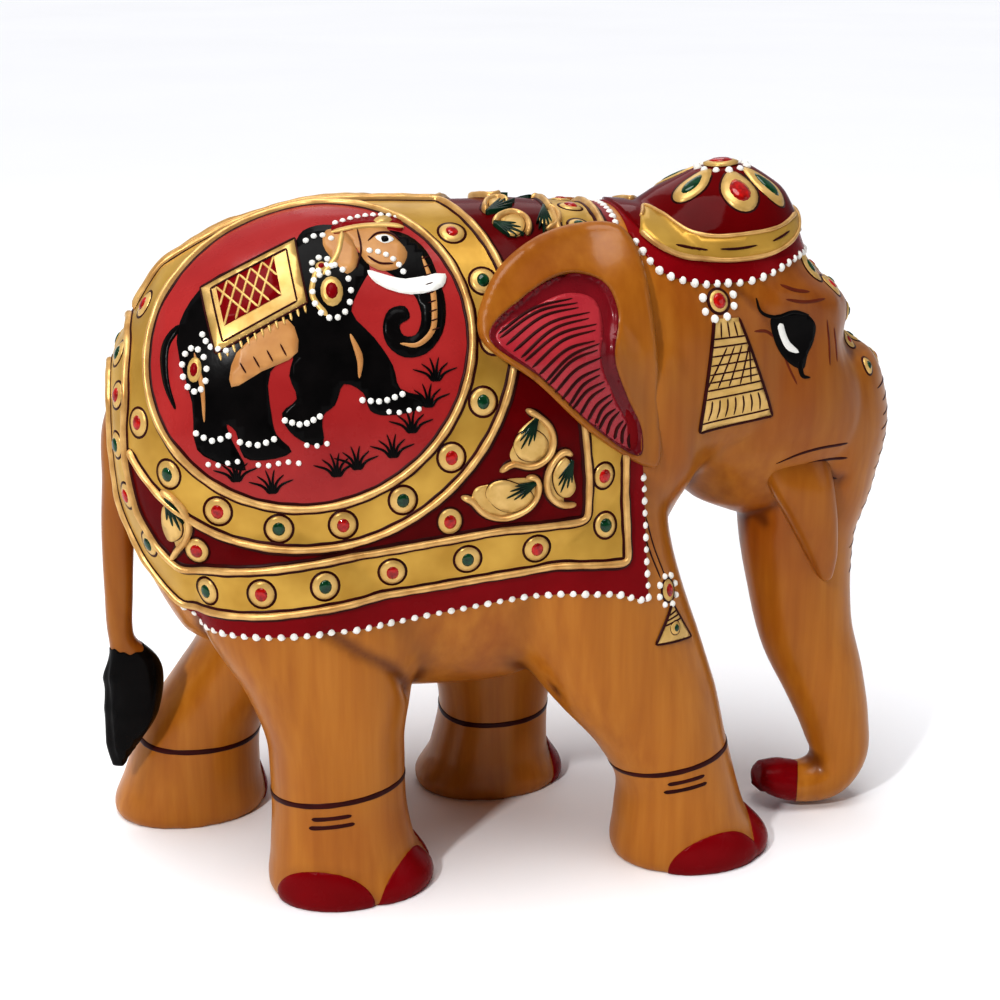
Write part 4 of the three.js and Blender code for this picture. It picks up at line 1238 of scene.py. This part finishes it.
EAR_EDGE = [(27.3, 93), (14.3, 99.8), (2.3, 111.2), (-9.2, 121.4), (-6.5, 133.6), (1.8, 141.8),
            (11.3, 145.2), (19.2, 144.2), (23, 138), (26.2, 121.2), (27.4, 107.2)]
SCOOP_EDGE = [(22.4, 96.2), (12.4, 102.6), (1, 113.2), (-7.2, 121.8), (-0.6, 129.4), (8.2, 134.4),
              (15.2, 132.4), (18.2, 125.8), (17.4, 116.4), (20.2, 108.4), (23.2, 101.6)]
EAR_THICK, SCOOP_DEPTH, EAR_ROUND = 3.6, 1.9, 1.5
EAR_CLEAR = 3.4


def ear_face(x, z):
    """How far out from the middle plane the front of the ear lies."""
    flare = 9.5 * (1 - np.exp(-(np.maximum(27.4 - x, 0) / 11) ** 1.5))
    return 29.6 + flare - 0.08 * (z - 95) - 0.85 * np.maximum(0, z - 119)


def block_depth(drawn):
    """How far in from the flank plane the block lies, seen along the flank's lean."""
    starts = np.column_stack([drawn[:, 0], np.full(len(drawn), -FLANK_PLANE),
                              drawn[:, 1]]) - FLANK_AIM * REACH
    found = [BODY.tree.ray_cast(Vector(start), Vector(FLANK_AIM))[0] for start in starts]
    return np.array([FLANK_PLANE + hit.y if hit else 60.0 for hit in found])


def ear_inward(drawn):
    """How far in from the flank plane the ear lies, at points drawn on it. It follows its own sheet, and
    stays clear of the neck where the neck is further out."""
    x, z = drawn.T
    for _ in range(5):
        inward = FLANK_PLANE - ear_face(x, z)
        x, z = drawn[:, 0] + inward * LEAN_AHEAD, drawn[:, 1] - inward * LEAN_DOWN
    over = np.maximum(inward - (block_depth(drawn) - EAR_CLEAR), 0)
    return inward - over * eased((drawn[:, 1] - 108) / 12)


def on_ear(drawn, inward, sunk):
    """Points of the ear's sheet, sunk further in by the given depths."""
    x, z = drawn[:, 0] + inward * LEAN_AHEAD, drawn[:, 1] - inward * LEAN_DOWN
    return np.column_stack([x, -FLANK_PLANE + inward + sunk, z])


def eased(value):
    """A soft step from 0 to 1."""
    value = np.clip(value, 0, 1)
    return value * value * (3 - 2 * value)


def ear_mesh():
    """The right ear: a rounded sheet, hollowed on its front and thicker where it meets the head."""
    outline = even(spline(EAR_EDGE, 10, True), 0.8, True)
    scoop = spline(SCOOP_EDGE, 8, True)
    lo, hi = outline.min(axis=0), outline.max(axis=0)
    cells = np.stack(np.meshgrid(np.arange(lo[0], hi[0], 0.6), np.arange(lo[1], hi[1], 0.6)),
                     axis=-1).reshape(-1, 2)
    cells = cells[signed(cells, outline) > 0.35]
    drawn = np.vstack([outline, cells])
    count = len(outline)
    made = delaunay_2d_cdt([Vector(p) for p in drawn], [(i, (i + 1) % count) for i in range(count)],
                           [list(range(count))], 1, 1e-5)
    flat, faces = np.array([tuple(v) for v in made[0]]), [list(f) for f in made[2]]
    inset = np.clip(signed(flat, outline), 0, EAR_ROUND)
    rounding = EAR_ROUND - np.sqrt(np.maximum(EAR_ROUND**2 - (EAR_ROUND - inset) ** 2, 0))
    hollow = SCOOP_DEPTH * eased(signed(flat, scoop) / 1.1 + 0.3)
    sheet = Surface(np.column_stack([flat, np.zeros(len(flat))]), faces)
    inward = ear_inward(flat)
    for _ in range(14):
        inward = sheet.blurred(inward)
    front = on_ear(flat, inward, rounding + hollow)
    thick = EAR_THICK + 5.5 * eased((flat[:, 0] - 20) / 5)
    back = on_ear(flat, inward, np.maximum(thick - rounding, rounding + 0.5))
    back[:, 1] = np.minimum(back[:, 1], -2.0)
    turned = face_normals(front, faces)[:, 1].sum()
    if turned > 0:
        faces = [f[::-1] for f in faces]
    edges = {(a, b) for f in faces for a, b in zip(f, f[1:] + f[:1])}
    n = len(flat)
    rim = [[b, a, n + a, n + b] for a, b in edges if (b, a) not in edges]
    return np.vstack([front, back]), faces + [[n + i for i in f[::-1]] for f in faces] + rim


EAR = Surface(*ear_mesh())
for word, side in SIDES.items():
    points = EAR.points * (1, -side, 1)
    faces = EAR.faces if side < 0 else [f[::-1] for f in EAR.faces]
    # Painted shade: the ears are darkened all over and more in their hollows.
    publish(f"wood_ear_{word}", points, faces, WOOD, [f"ear_{word}"],
            {"painted_shade": 0.26 + hollow_shade_of(EAR, 8, 0.3) * 0.6})


def ear_paint():
    """The painted hollow: walls painted darker as shade, a pink floor and dark lines that fan out from the
    lower edge.
    """
    wall = spline([(23.2, 96.2), (15.0, 101.0), (3.2, 112.4), (-7.6, 121.7),
                   (-1.0, 129.4)] + SCOOP_EDGE[5:10] + [(23.4, 101.6)], 8, True)
    floor_edge = [(21.6, 97.6), (13.6, 102.6), (2.6, 113.3), (-6.4, 121.7), (0.4, 127.0), (8.0, 130.2),
                  (13.2, 128.8), (15.0, 123.6), (14.6, 116.0), (17.4, 108.6), (20.8, 102.0)]
    # The walls are painted darker than the floor: painted shade in the hollow.
    Heap().add(*patch(EAR, from_flank, wall, 0.16, 0.8)).both().publish(
        "ear_walls_painted_shade", PINK_IN_SHADE, "crimson_lacquer", ["ear_lining_right", "ear_lining_left"])
    Heap().add(*patch(EAR, from_flank, spline(floor_edge, 8, True), 0.28, 0.8)).both().publish(
        "ear_floor_paint", PINK, "crimson_lacquer")
    starts = even(spline([(7.0, 130.2), (12.5, 128.4), (14.8, 123.5), (15.2, 119), (15.4, 113.5),
                          (18.2, 107), (21.0, 101.6)]), 1.0)
    ends = even(spline([(-3.8, 124.8), (-6.4, 121.8), (0.4, 114.6), (7.2, 107.6), (13.8, 102.0),
                        (20.8, 97.6)]), 1.0)
    fan = Heap()
    count = 22
    for k in range(count):
        share = 0.1 + 0.9 * k / (count - 1)
        a, b = starts[int(share * (len(starts) - 1))], ends[int(share * (len(ends) - 1))]
        bow = np.array((b[1] - a[1], a[0] - b[0])) * 0.09
        short = 0.06 + 0.1 * ((k * 7) % 5) / 5
        path = [a + (b - a) * short, a + (b - a) * 0.5 + bow, a + (b - a) * 0.97]
        fan.add(*stroke(EAR, from_flank, path, 0.85, 0.08, 0.32, (0.4, 0.1)))
    fan.both().publish("ear_fan_lines", MAROON)


ear_paint()

# ---------------------------------------------------------------- tusks and tail

TUSK = [(62.5, -12, 89.5, 7.8, 4.8), (64.3, -14.6, 82, 7.3, 4.8), (67.2, -15, 74, 5.6, 4.1),
        (70.2, -14.3, 65, 3.5, 2.9), (71.7, -13.8, 59.4, 1.5, 1.4), (71.9, -13.8, 58.4, 0.5, 0.5)]
TUSK_MESH = loft(TUSK, 32, 8, 2.7, (0.0, 0.0, -1.0))
for word, side in SIDES.items():
    points, faces = TUSK_MESH
    points = points * (1, -side, 1)
    faces = faces if side < 0 else [f[::-1] for f in faces]
    # Painted shade on the tusks, strongest at the root under the cheek.
    shaded = fall(points[:, 2] - 90, 4.5) * 0.5 + 0.16
    publish(f"wood_tusk_{word}", points, faces, WOOD, [f"tusk_{word}"], {"painted_shade": shaded})

TAIL = [(-76, 0, 108, 2.6, 4.2), (-79.2, 0, 98, 3.4, 4.6), (-80, 0, 87, 3.4, 4), (-80.9, 0.4, 76, 3.4, 3.3),
        (-81.7, 1.4, 62, 3, 2.9), (-82, 3.4, 50.5, 2.7, 2.8), (-79.6, 6, 40, 6.2, 3.8),
        (-80.6, 8, 31, 5.8, 3.9),
        (-83.4, 9.8, 22, 3.2, 3), (-84.4, 10.4, 16.5, 1, 1.2)]


def tail():
    """The hanging tail and its dark tuft."""
    points, faces = loft(TAIL, 40, 10, 2.3)
    x, y, z = points.T
    lower = eased((47 - z) / 6)
    angle = np.arctan2(y - np.interp(z, [16.5, 50.5], [10.4, 3.4]), x + 82)
    points[:, 0] += lower * (0.3 * np.sin(angle * 9) - 0.6)
    surface = Surface(points, faces)
    # Painted shade on the tail, darker up towards the rump.
    publish("wood_tail", points, faces, WOOD, ["tail"],
            {"painted_shade": 0.3 + 0.25 * eased((z - 92) / 14)})
    tooth = 1.2 * np.abs((angle * 1.43) % 1 - 0.5) + 0.7 * np.sin(angle * 2.0)
    Heap().add(*skin(surface, 47.2 + tooth - z, 0.12, 0.2)).publish("tail_tuft", BLACK, "black_paint")


tail()

# ---------------------------------------------------------------- cap

CAP_EDGE = [(24.3, SKY), (24.3, 137.5), (27.3, 133), (29.2, 131), (31.6, 129.8), (35.4, 128.6), (38.8, 128),
            (46.5, 127.8), (49.9, 128.3), (53.3, 129.2), (57.5, 130.6), (61.2, 131.5), (76, 131.5), (76, SKY)]
CAP_BAND = 3.9
CAP_LIFT = 1.0
CAP_TOP = (48.5, 0, 146)
# The petals round its top: how far out, half sizes of disc and stone, and how pointed.
PETALS = {"r": (10.6, (5.2, 3.8), (2.8, 2.1), 0.2), "g": (10.4, (5.4, 3.0), (3.0, 1.4), 0.25)}


def cap():
    """The lacquered dome, its crimson band, the gold crescents, the petals and the dots."""
    field = signed(SIDEWAYS, CAP_EDGE)
    field = np.where(X > 20, field, -5.0)
    lay("cap_band_crimson", np.minimum(field, CAP_BAND + 0.5 - field), 0.45, CRIMSON, "crimson_lacquer")
    raised = [(x, z + CAP_BAND if z < SKY else z) for x, z in CAP_EDGE]
    dome = np.minimum(signed(SIDEWAYS, raised), field)
    lay("cap_dome", dome, CAP_LIFT, CAP_RED, "red_lacquer", "cap")
    low = [(26.4, 137.4), (29.0, 135.2), (33.5, 133.1), (38.1, 132.2), (47, 132.1), (54.7, 133.0),
           (60.6, 135.6), (63.6, 139.6)]
    high = [(61.4, 138.9), (55.6, 137.3), (47.7, 136.6), (40.7, 136.4), (36.2, 137.4), (33.2, 139.4),
            (30.2, 140.4), (27.6, 139.2)]
    edge = np.vstack([spline(low, 6), spline(high, 6)])
    gold = Heap().add(*patch(BODY, from_side, edge, CAP_LIFT + 0.4, 1.2))
    gold.both().publish("cap_crescents", GOLD, "gold_paste", ["cap_band_right", "cap_band_left"])
    rims, ink = Heap(), Heap()
    for line in (low, high):
        spots, _ = from_side(BODY, spline(line, 8))
        rims.add(*ridge(BODY, spots, 0.9, 0.5, CAP_LIFT + 0.2, step=0.5))
    rims.both().publish("cap_crescent_rims", GOLD_LIGHT, "gold_paste")
    for path in ([(42.5, 134.0), (46, 134.0), (50, 134.4)], [(53.5, 134.9), (56, 135.6), (58, 136.3)],
                 [(33, 134.6), (36.5, 133.9), (40, 133.7)]):
        ink.add(*stroke(BODY, from_side, path, 0.6, 0.08, CAP_LIFT + 0.45))
    ink.both().publish("cap_ink", MAROON)

    dots = Heap()
    for line, closed in contour(BODY, field, X > 24.6):
        if len(line) > 20:
            pearls(dots, BODY, even(line, 2.6, closed), lift=0.05)
    jewels = Jewels()
    jewels.set(BODY, CAP_TOP, "r", (3.5, 3.5), (2.3, 2.3), CAP_LIFT + 0.6, 0)
    around = np.array(CAP_TOP) + [(4.6 * math.cos(a), 4.6 * math.sin(a), 0)
                                  for a in np.arange(12) * math.pi / 6]
    pearls(dots, BODY, around, 0.85, CAP_LIFT)
    for angle, color in ((-88, "r"), (-142, "g"), (-48, "g"), (88, "r"), (142, "g"), (48, "g")):
        a = math.radians(angle)
        out = np.array((math.cos(a), math.sin(a), 0.0))
        reach, disc, stone, point = PETALS[color]
        (spot,), _ = BODY.cast([(CAP_TOP[0], 0, SKY) + out * reach], (0, 0, -1))
        jewels.set(BODY, spot, color, disc, stone, CAP_LIFT, 0.4, up=-out, point=point)
    jewels.publish("cap", False, ["cap_button"] + [f"cap_petal_{k}" for k in range(1, 7)])
    dots.publish("cap_pearls", PEARL, "pearl_paint")


cap()

# ---------------------------------------------------------------- face

EYE = [(53.2, 120.5), (57.5, 120.9), (61.6, 120.3), (63.8, 117.8), (63.3, 114.4), (62.0, 112.0),
       (61.0, 109.2),
       (59.2, 109.6), (56.3, 112.0), (54.0, 115.8)]


def face():
    """The eyes, the brush lines round eyes and mouth, and the dashes across the trunk."""
    black, white, brown, maroon = Heap(), Heap(), Heap(), Heap()
    black.add(*patch(BODY, from_side, spline(EYE, 6, True), 0.14, 0.8))
    for path, width, taper in (
        ([(49.8, 124.6), (50.8, 121.8), (54.0, 120.5), (58, 121.2), (62, 120.2)], 1.0, (0.5, 0.2)),
        ([(60.4, 111.0), (60.4, 109.0), (61.0, 107.6), (62.6, 107.2)], 1.3, (0.1, 0.6)),
    ):
        black.add(*stroke(BODY, from_side, path, width, 0.14, 0.08, taper))
    white.add(*stroke(BODY, from_side, [(55.1, 119.2), (56.1, 116.4), (57.4, 114.2), (59.8, 112.6)], 1.9,
                      0.12, 0.16, (0.08, 0.25)))
    for path, width in (
        ([(55.3, 126.9), (58.5, 125.6), (62.4, 124.8)], 0.9),
        ([(56.3, 124.0), (61, 123.0), (66.5, 122.9)], 0.9),
        ([(66.9, 118.6), (67.5, 114.0), (67.7, 109.0)], 0.7),
        ([(69.0, 116.6), (69.6, 113.0), (69.8, 109.4)], 0.7),
        ([(49.0, 118.2), (52.0, 117.8), (54.2, 116.2)], 0.8), ([(56.5, 112.2), (58, 109), (59.6, 106)], 0.6),
    ):
        brown.add(*stroke(BODY, from_side, path, width, 0.06))
    for path, width in (
        ([(57.2, 87.9), (62, 90.0), (67, 90.9), (74.0, 90.9)], 0.85), ([(58.6, 84.9), (63, 86.6), (68, 87.5),
                (74.6, 87.2)], 0.85),
        ([(60.2, 81.8), (66, 83.8), (73, 82.2)], 0.6),
    ):
        maroon.add(*stroke(BODY, from_side, path, width, 0.08, taper=(0.4, 0.1)))
    black.both().publish("eye_outlines", BLACK, "black_paint")
    white.both().publish("eye_whites", PEARL, "pearl_paint")
    brown.both().publish("brow_strokes", BROWN)
    maroon.both()
    for n in range(15):
        z = 101.5 - 3.1 * n
        reach = 0.62 * np.interp(z, (56, 68, 80, 92, 101), (10.5, 12, 14, 16, 15.5))
        lean = np.interp(z, (56, 80), (-2, -0.5))
        for start, stop in ((-reach + (n * 5 % 3) * 0.6, -0.6), (0.8, reach - (n * 7 % 3) * 0.5)):
            path = [(start + lean, z - 0.5), ((start + stop) / 2 + lean, z + 0.2), (stop + lean, z)]
            maroon.add(*stroke(BODY, from_front, path, 0.85, 0.1, taper=(0.7, 0.1)))
    maroon.publish("face_lines", MAROON)


face()


def pendant_shape(left, right, share):
    """The ends of a line across the pendant, at a share of the way down its sides."""
    return [np.array(top) * (1 - share) + np.array(foot) * share for top, foot in (left, right)]


def pendants():
    """The tapering ornament between ear and eye, under a ringed stone."""
    gold, ink, dots, jewels = Heap(), Heap(), Heap(), Jewels()
    left, right = ((39.9, 121.4), (37.6, 97.8)), ((45.4, 121.2), (54.3, 99.8))
    edge = np.vstack([even(np.array([left[0], right[0]]), 1.5), even(np.array([right[0], right[1]]), 1.5),
                      even(np.array([right[1], left[1]]), 1.5), even(np.array([left[1], left[0]]), 1.5)])
    edge = edge[np.linalg.norm(np.diff(edge, axis=0, append=edge[:1]), axis=1) > 1e-6]
    gold.add(*patch(BODY, from_side, edge, 0.3, 1.2))
    for a, b in ((left[0], left[1]), (right[0], right[1]), (left[1], right[1])):
        ink.add(*stroke(BODY, from_side, [a, (np.array(a) + b) / 2, b], 0.75, 0.1, 0.3, (0.03, 0.03)))
    for share in (0.17, 0.24, 0.62, 0.70, 0.92):
        ink.add(*stroke(BODY, from_side, pendant_shape(left, right, share), 0.45, 0.08, 0.32, (0.05, 0.05)))
    for k in range(1, 4):
        a, b = pendant_shape(left, right, 0.03), pendant_shape(left, right, 0.17)
        ink.add(*stroke(BODY, from_side, [a[0] + (a[1] - a[0]) * k / 4, b[0] + (b[1] - b[0]) * k / 4], 0.4,
                        0.08, 0.32))
    for k in range(1, 8):
        a, b = pendant_shape(left, right, 0.72), pendant_shape(left, right, 0.9)
        start, stop = a[0] + (a[1] - a[0]) * k / 8, b[0] + (b[1] - b[0]) * (k / 8 - 0.03)
        ink.add(*stroke(BODY, from_side, [start, (start + stop) / 2 + (0.25, 0), stop], 0.45, 0.08, 0.32,
                        (0.1, 0.4)))
    a, b = pendant_shape(left, right, 0.25), pendant_shape(left, right, 0.61)
    for k in range(6):
        low, high = k / 5, (k + 2) / 5
        ink.add(*stroke(BODY, from_side, [b[0] + (b[1] - b[0]) * low, a[0] + (a[1] - a[0]) * min(high, 1.0)],
                        0.4, 0.08, 0.32, (0.1, 0.1)))
    for share in (0.32, 0.4, 0.48, 0.55):
        ink.add(*stroke(BODY, from_side, pendant_shape(left, right, share), 0.4, 0.08, 0.32, (0.1, 0.1)))
    jewels.set(BODY, on_side(41.2, 124.7), "r", (2.35, 2.2), (1.6, 1.45), 0.1, 0.5)
    ringed = [(41.2 + 3.6 * math.cos(a), 124.7 + 3.5 * math.sin(a))
              for a in np.radians((15, 165, 210, 252, 297, 340))]
    pearls(dots, BODY, from_side(BODY, np.array(ringed))[0], 0.9, 0.15)
    gold.both().publish("pendant_plates", GOLD_DISC, "gold_paste", ["pendant_right", "pendant_left"])
    ink.both().publish("pendant_ink", MAROON)
    dots.both().publish("pendant_pearls", PEARL, "pearl_paint")
    jewels.publish("pendant", replaces=["pendant_stone_right", "pendant_stone_left"])


pendants()


def tassels():
    """One over the right foreleg, and one on the left side of the chest, where the foreleg stands back."""
    gold, ink, dots, jewels = Heap(), Heap(), Heap(), Jewels()
    for side, at in ((-1, (30.8, 65.4)), (1, (28.0, 80.5))):
        (pin,), (normal,) = from_side(BODY if side < 0 else BODY_MIRROR, np.array([at]))
        pin, normal = pin * (1, -side, 1), normal * (1, -side, 1)
        rise = unit(np.array(UP) - normal * normal[2])
        ahead = np.cross(rise, normal) * -side

        def laid(surface, drawn, pin=pin, at=at, rise=rise, ahead=ahead):
            offset = np.asarray(drawn, float) - at
            return surface.nearest(pin + offset[:, :1] * ahead + offset[:, 1:] * rise)

        top = np.array(at)
        tip, left, right = top + (0.6, -3.0), top + (-5.6, -10.6), top + (5.4, -11.8)
        edge = np.vstack([even(np.array([tip, right]), 1.0)[:-1], even(np.array([right, left]), 1.0)[:-1],
                          even(np.array([left, tip]), 1.0)[:-1]])
        gold.add(*patch(BODY, laid, edge, 0.3, 1.0))
        for a, b in ((tip, left), (tip, right), (left, right)):
            ink.add(*stroke(BODY, laid, [a, (a + b) / 2, b], 0.6, 0.1, 0.3, (0.03, 0.03)))
        for share in (0.3, 0.42, 0.54):
            ink.add(*stroke(BODY, laid, [tip + (left - tip) * share, tip + (right - tip) * (share - 0.1)],
                            0.45, 0.08, 0.32, (0.05, 0.05)))
        for offset in (-0.9, 0.7):
            path = [top + (-4.8 + offset, 17), top + (-3.4 + offset, 10), top + (-1.0 + offset, 3)]
            ink.add(*stroke(BODY, laid, path, 0.5, 0.08, 0.0, (0.1, 0.1)))
        (spot,), _ = laid(BODY, np.array([top]))
        jewels.set(BODY, spot, "r", (2.4, 2.0), (1.4, 1.1), 0.1, 0.4)
        (spot,), _ = laid(BODY, np.array([top + (0.4, -8.3)]))
        jewels.set(BODY, spot, "g", (1.5, 1.5), (0.8, 0.7), 0.25, 0.35)
        ringed = np.array([top + (3.1 * math.cos(a), 3.2 * math.sin(a))
                           for a in np.arange(8) * math.pi / 4 + 0.2])
        pearls(dots, BODY, laid(BODY, ringed)[0], 0.75, 0.1)
    gold.publish("tassel_plates", GOLD_DISC, "gold_paste", ["shoulder_tassel_right", "shoulder_tassel_left"])
    ink.publish("tassel_ink", MAROON)
    dots.publish("tassel_pearls", PEARL, "pearl_paint")
    jewels.publish("tassel", False, ["tassel_stone_right", "tassel_stone_left"])


BODY_MIRROR = Surface(MIRRORED, [f[::-1] for f in BODY.faces])
tassels()

# Forehead: a chain of plates down the middle, a large pair beside its head and a small pair at its foot.
FOREHEAD = [
    ((69.6, 0, 127), (2.8, 2.3), "r"), ((74, 0, 122.8), (2.7, 2.6), "g"), ((77.8, 0, 117.6), (2.9, 2.4), "r"),
    ((79.6, 0, 111), (2.6, 2.3), "g"), ((84.2, 0, 105), (2.8, 2.1), "r"),
]
FOREHEAD_SIDES = [
    ((64.4, -11.2, 128.2), (4.0, 2.4), "g"), ((70.0, -9.4, 123.4), (3.0, 2.6), "r"),
    ((75.6, -6.2, 117.6), (2.4, 1.8), "g"),
    ((78.2, -6.4, 112), (2.3, 1.7), "r"), ((79.4, -8.8, 105.4), (2.0, 1.3), "g"),
]


def forehead():
    """The plates down the forehead and beside them."""
    middle, sides = Jewels(), Jewels()
    for spot, disc, color in FOREHEAD:
        middle.set(BODY, spot, color, disc, (disc[0] * 0.45, disc[1] * 0.42), 0.05, 0.45)
    for spot, disc, color in FOREHEAD_SIDES:
        sides.set(BODY, spot, color, disc, (disc[0] * 0.45, disc[1] * 0.45), 0.05, 0.4, up=(0.35, -0.3, 1))
    middle.publish("forehead_chain", False, [f"forehead_plate_{k}" for k in range(1, 6)])
    sides.publish("forehead_sides")


forehead()

# ---------------------------------------------------------------- feet and trunk tip


# The line round each ankle: its height, and how much it rises towards the toes.
ANKLETS = {"right_hind": (23.8, 0.09), "left_hind": (19.8, 0.0), "right_front": (25.2, 0.17),
           "left_front": (19.8, 0.03)}


def feet():
    """The lines round the ankles, the dashes under them, the toe nails and the painted tip of the trunk."""
    lines = Heap()
    for leg, (foot_x, side, _) in LEGS.items():
        near = (np.abs(X - foot_x - 3) < 30) & (Y * side > 0.5) & (Z < 36)
        height, rise = ANKLETS[leg]
        level = Z - height - rise * (X - foot_x) - 0.8 * np.sin((Y * side - LEG_Y) / 8)
        line, closed = contour(BODY, np.where(near, level, 9.0), near)[0]
        lines.add(*ridge(BODY, line, 1.35, 0.12, 0.05, closed, 0.6))
        for drop, reach in ((2.3, 4.4), (4.3, 5.0)):
            path = [(foot_x - 4.5 + s * reach, height - drop - 0.4 + rise * s * reach) for s in (-1, 0, 1)]
            spots, _ = from_side(BODY if side < 0 else BODY_MIRROR, spline(path, 8))
            lines.add(*ridge(BODY, spots * (1, -side, 1), 1.0, 0.1, 0.05, step=0.5))
    lines.publish("anklets", MAROON)
    nails = np.maximum.reduce([nail_field(BODY.points, leg) for leg in LEGS])
    lay("toe_nails", nails, 0.12, CRIMSON, "crimson_lacquer")
    tip = 70.5 - X - 0.35 * np.abs(Y + 7.5)
    tip = np.where((Z < 15) & (X > 56) & (np.abs(Y + 7.5) < 9), tip, -1.0)
    lay("trunk_tip", tip, 0.12, CRIMSON, "crimson_lacquer")


feet()

# ---------------------------------------------------------------- stage


# Each lamp: its place and what it points at, in metres, its width and its power.
LIGHTS = [
    ("key", (-0.45, -0.5, 0.55), (0, 0, 0.07), 0.05, 3.4),
    ("fill", (0.7, -0.5, 0.35), (0, 0, 0.07), 0.4, 0.7),
    ("back", (0.1, 0.7, 0.6), (0, 0, 0.08), 0.4, 0.6),
]
SUN_POWER, SUN_WIDTH, SUN_WAY = 2.5, 42, (0.16, 0.10, -1.0)
FLOOR_HALF = 6.0
FILM_WIDTH, LENS = 36.0, 61.8
AIM = (-DRAWN_AHEAD, -5.0, 79.0)
AZIMUTH, ELEVATION, DISTANCE = -11.0, 18.5, 0.370


def stage():
    """A pale floor and backdrop, soft light from above, and the camera."""
    scene = bpy.context.scene
    size = FLOOR_HALF
    mesh = bpy.data.meshes.new("floor")
    mesh.from_pydata([(-size, -size, 0), (size, -size, 0), (size, size, 0), (-size, size, 0)], [],
                     [(0, 1, 2, 3)])
    made, tree, shader, place = nodes_for("pale_floor")
    tree.links.new(ramp(tree, noise(tree, place, 2), [(0.3, (0.91, 0.91, 0.92)), (0.7, (0.93, 0.93, 0.94))]),
                   shader.inputs["Base Color"])
    shader.inputs["Roughness"].default_value = 1.0
    shader.inputs["Specular IOR Level"].default_value = 0.0
    mesh.materials.append(made)
    floor = bpy.data.objects.new("floor", mesh)
    scene.collection.objects.link(floor)

    world = bpy.data.worlds.new("studio")
    world.use_nodes = True
    tree = world.node_tree
    split = tree.nodes.new("ShaderNodeSeparateXYZ")
    tree.links.new(tree.nodes.new("ShaderNodeTexCoord").outputs["Generated"], split.inputs["Vector"])
    away = between_values(tree, split.outputs["Y"], 0.0, 1.0)
    away.node.inputs["From Min"].default_value = -1.0
    sky = ramp(tree, away, [(0.25, (0.10, 0.10, 0.11)), (0.5, (0.26, 0.27, 0.29)), (0.7, (0.42, 0.43, 0.46))])
    seen = tree.nodes.new("ShaderNodeLightPath").outputs["Is Camera Ray"]
    tree.links.new(blend_colors(tree, seen, sky, (0.97, 0.98, 1.0)), tree.nodes["Background"].inputs["Color"])
    scene.world = world
    for name, place, aim, size, power in LIGHTS:
        lamp = bpy.data.lights.new(name, "AREA")
        lamp.size = size
        lamp.energy = power
        thing = bpy.data.objects.new(name, lamp)
        thing.location = place
        thing.rotation_euler = (Vector(aim) - Vector(place)).to_track_quat("-Z", "Y").to_euler()
        scene.collection.objects.link(thing)
    sun = bpy.data.lights.new("sky", "SUN")
    sun.energy, sun.angle = SUN_POWER, math.radians(SUN_WIDTH)
    thing = bpy.data.objects.new("sky", sun)
    thing.rotation_euler = Vector(SUN_WAY).to_track_quat("-Z", "Y").to_euler()
    scene.collection.objects.link(thing)
    scene.view_settings.view_transform = "Standard"
    scene.view_settings.gamma = 0.86

    lens = bpy.data.cameras.new("camera")
    lens.sensor_width, lens.lens = FILM_WIDTH, LENS
    lens.clip_start, lens.clip_end = 0.01, 50.0
    camera = bpy.data.objects.new("camera", lens)
    azimuth, elevation = math.radians(AZIMUTH), math.radians(ELEVATION)
    back = Vector((math.sin(azimuth) * math.cos(elevation), -math.cos(azimuth) * math.cos(elevation),
                   math.sin(elevation)))
    camera.location = Vector(AIM) * MM + back * DISTANCE
    camera.rotation_euler = (-back).to_track_quat("-Z", "Y").to_euler()
    scene.collection.objects.link(camera)
    scene.camera = camera


stage()
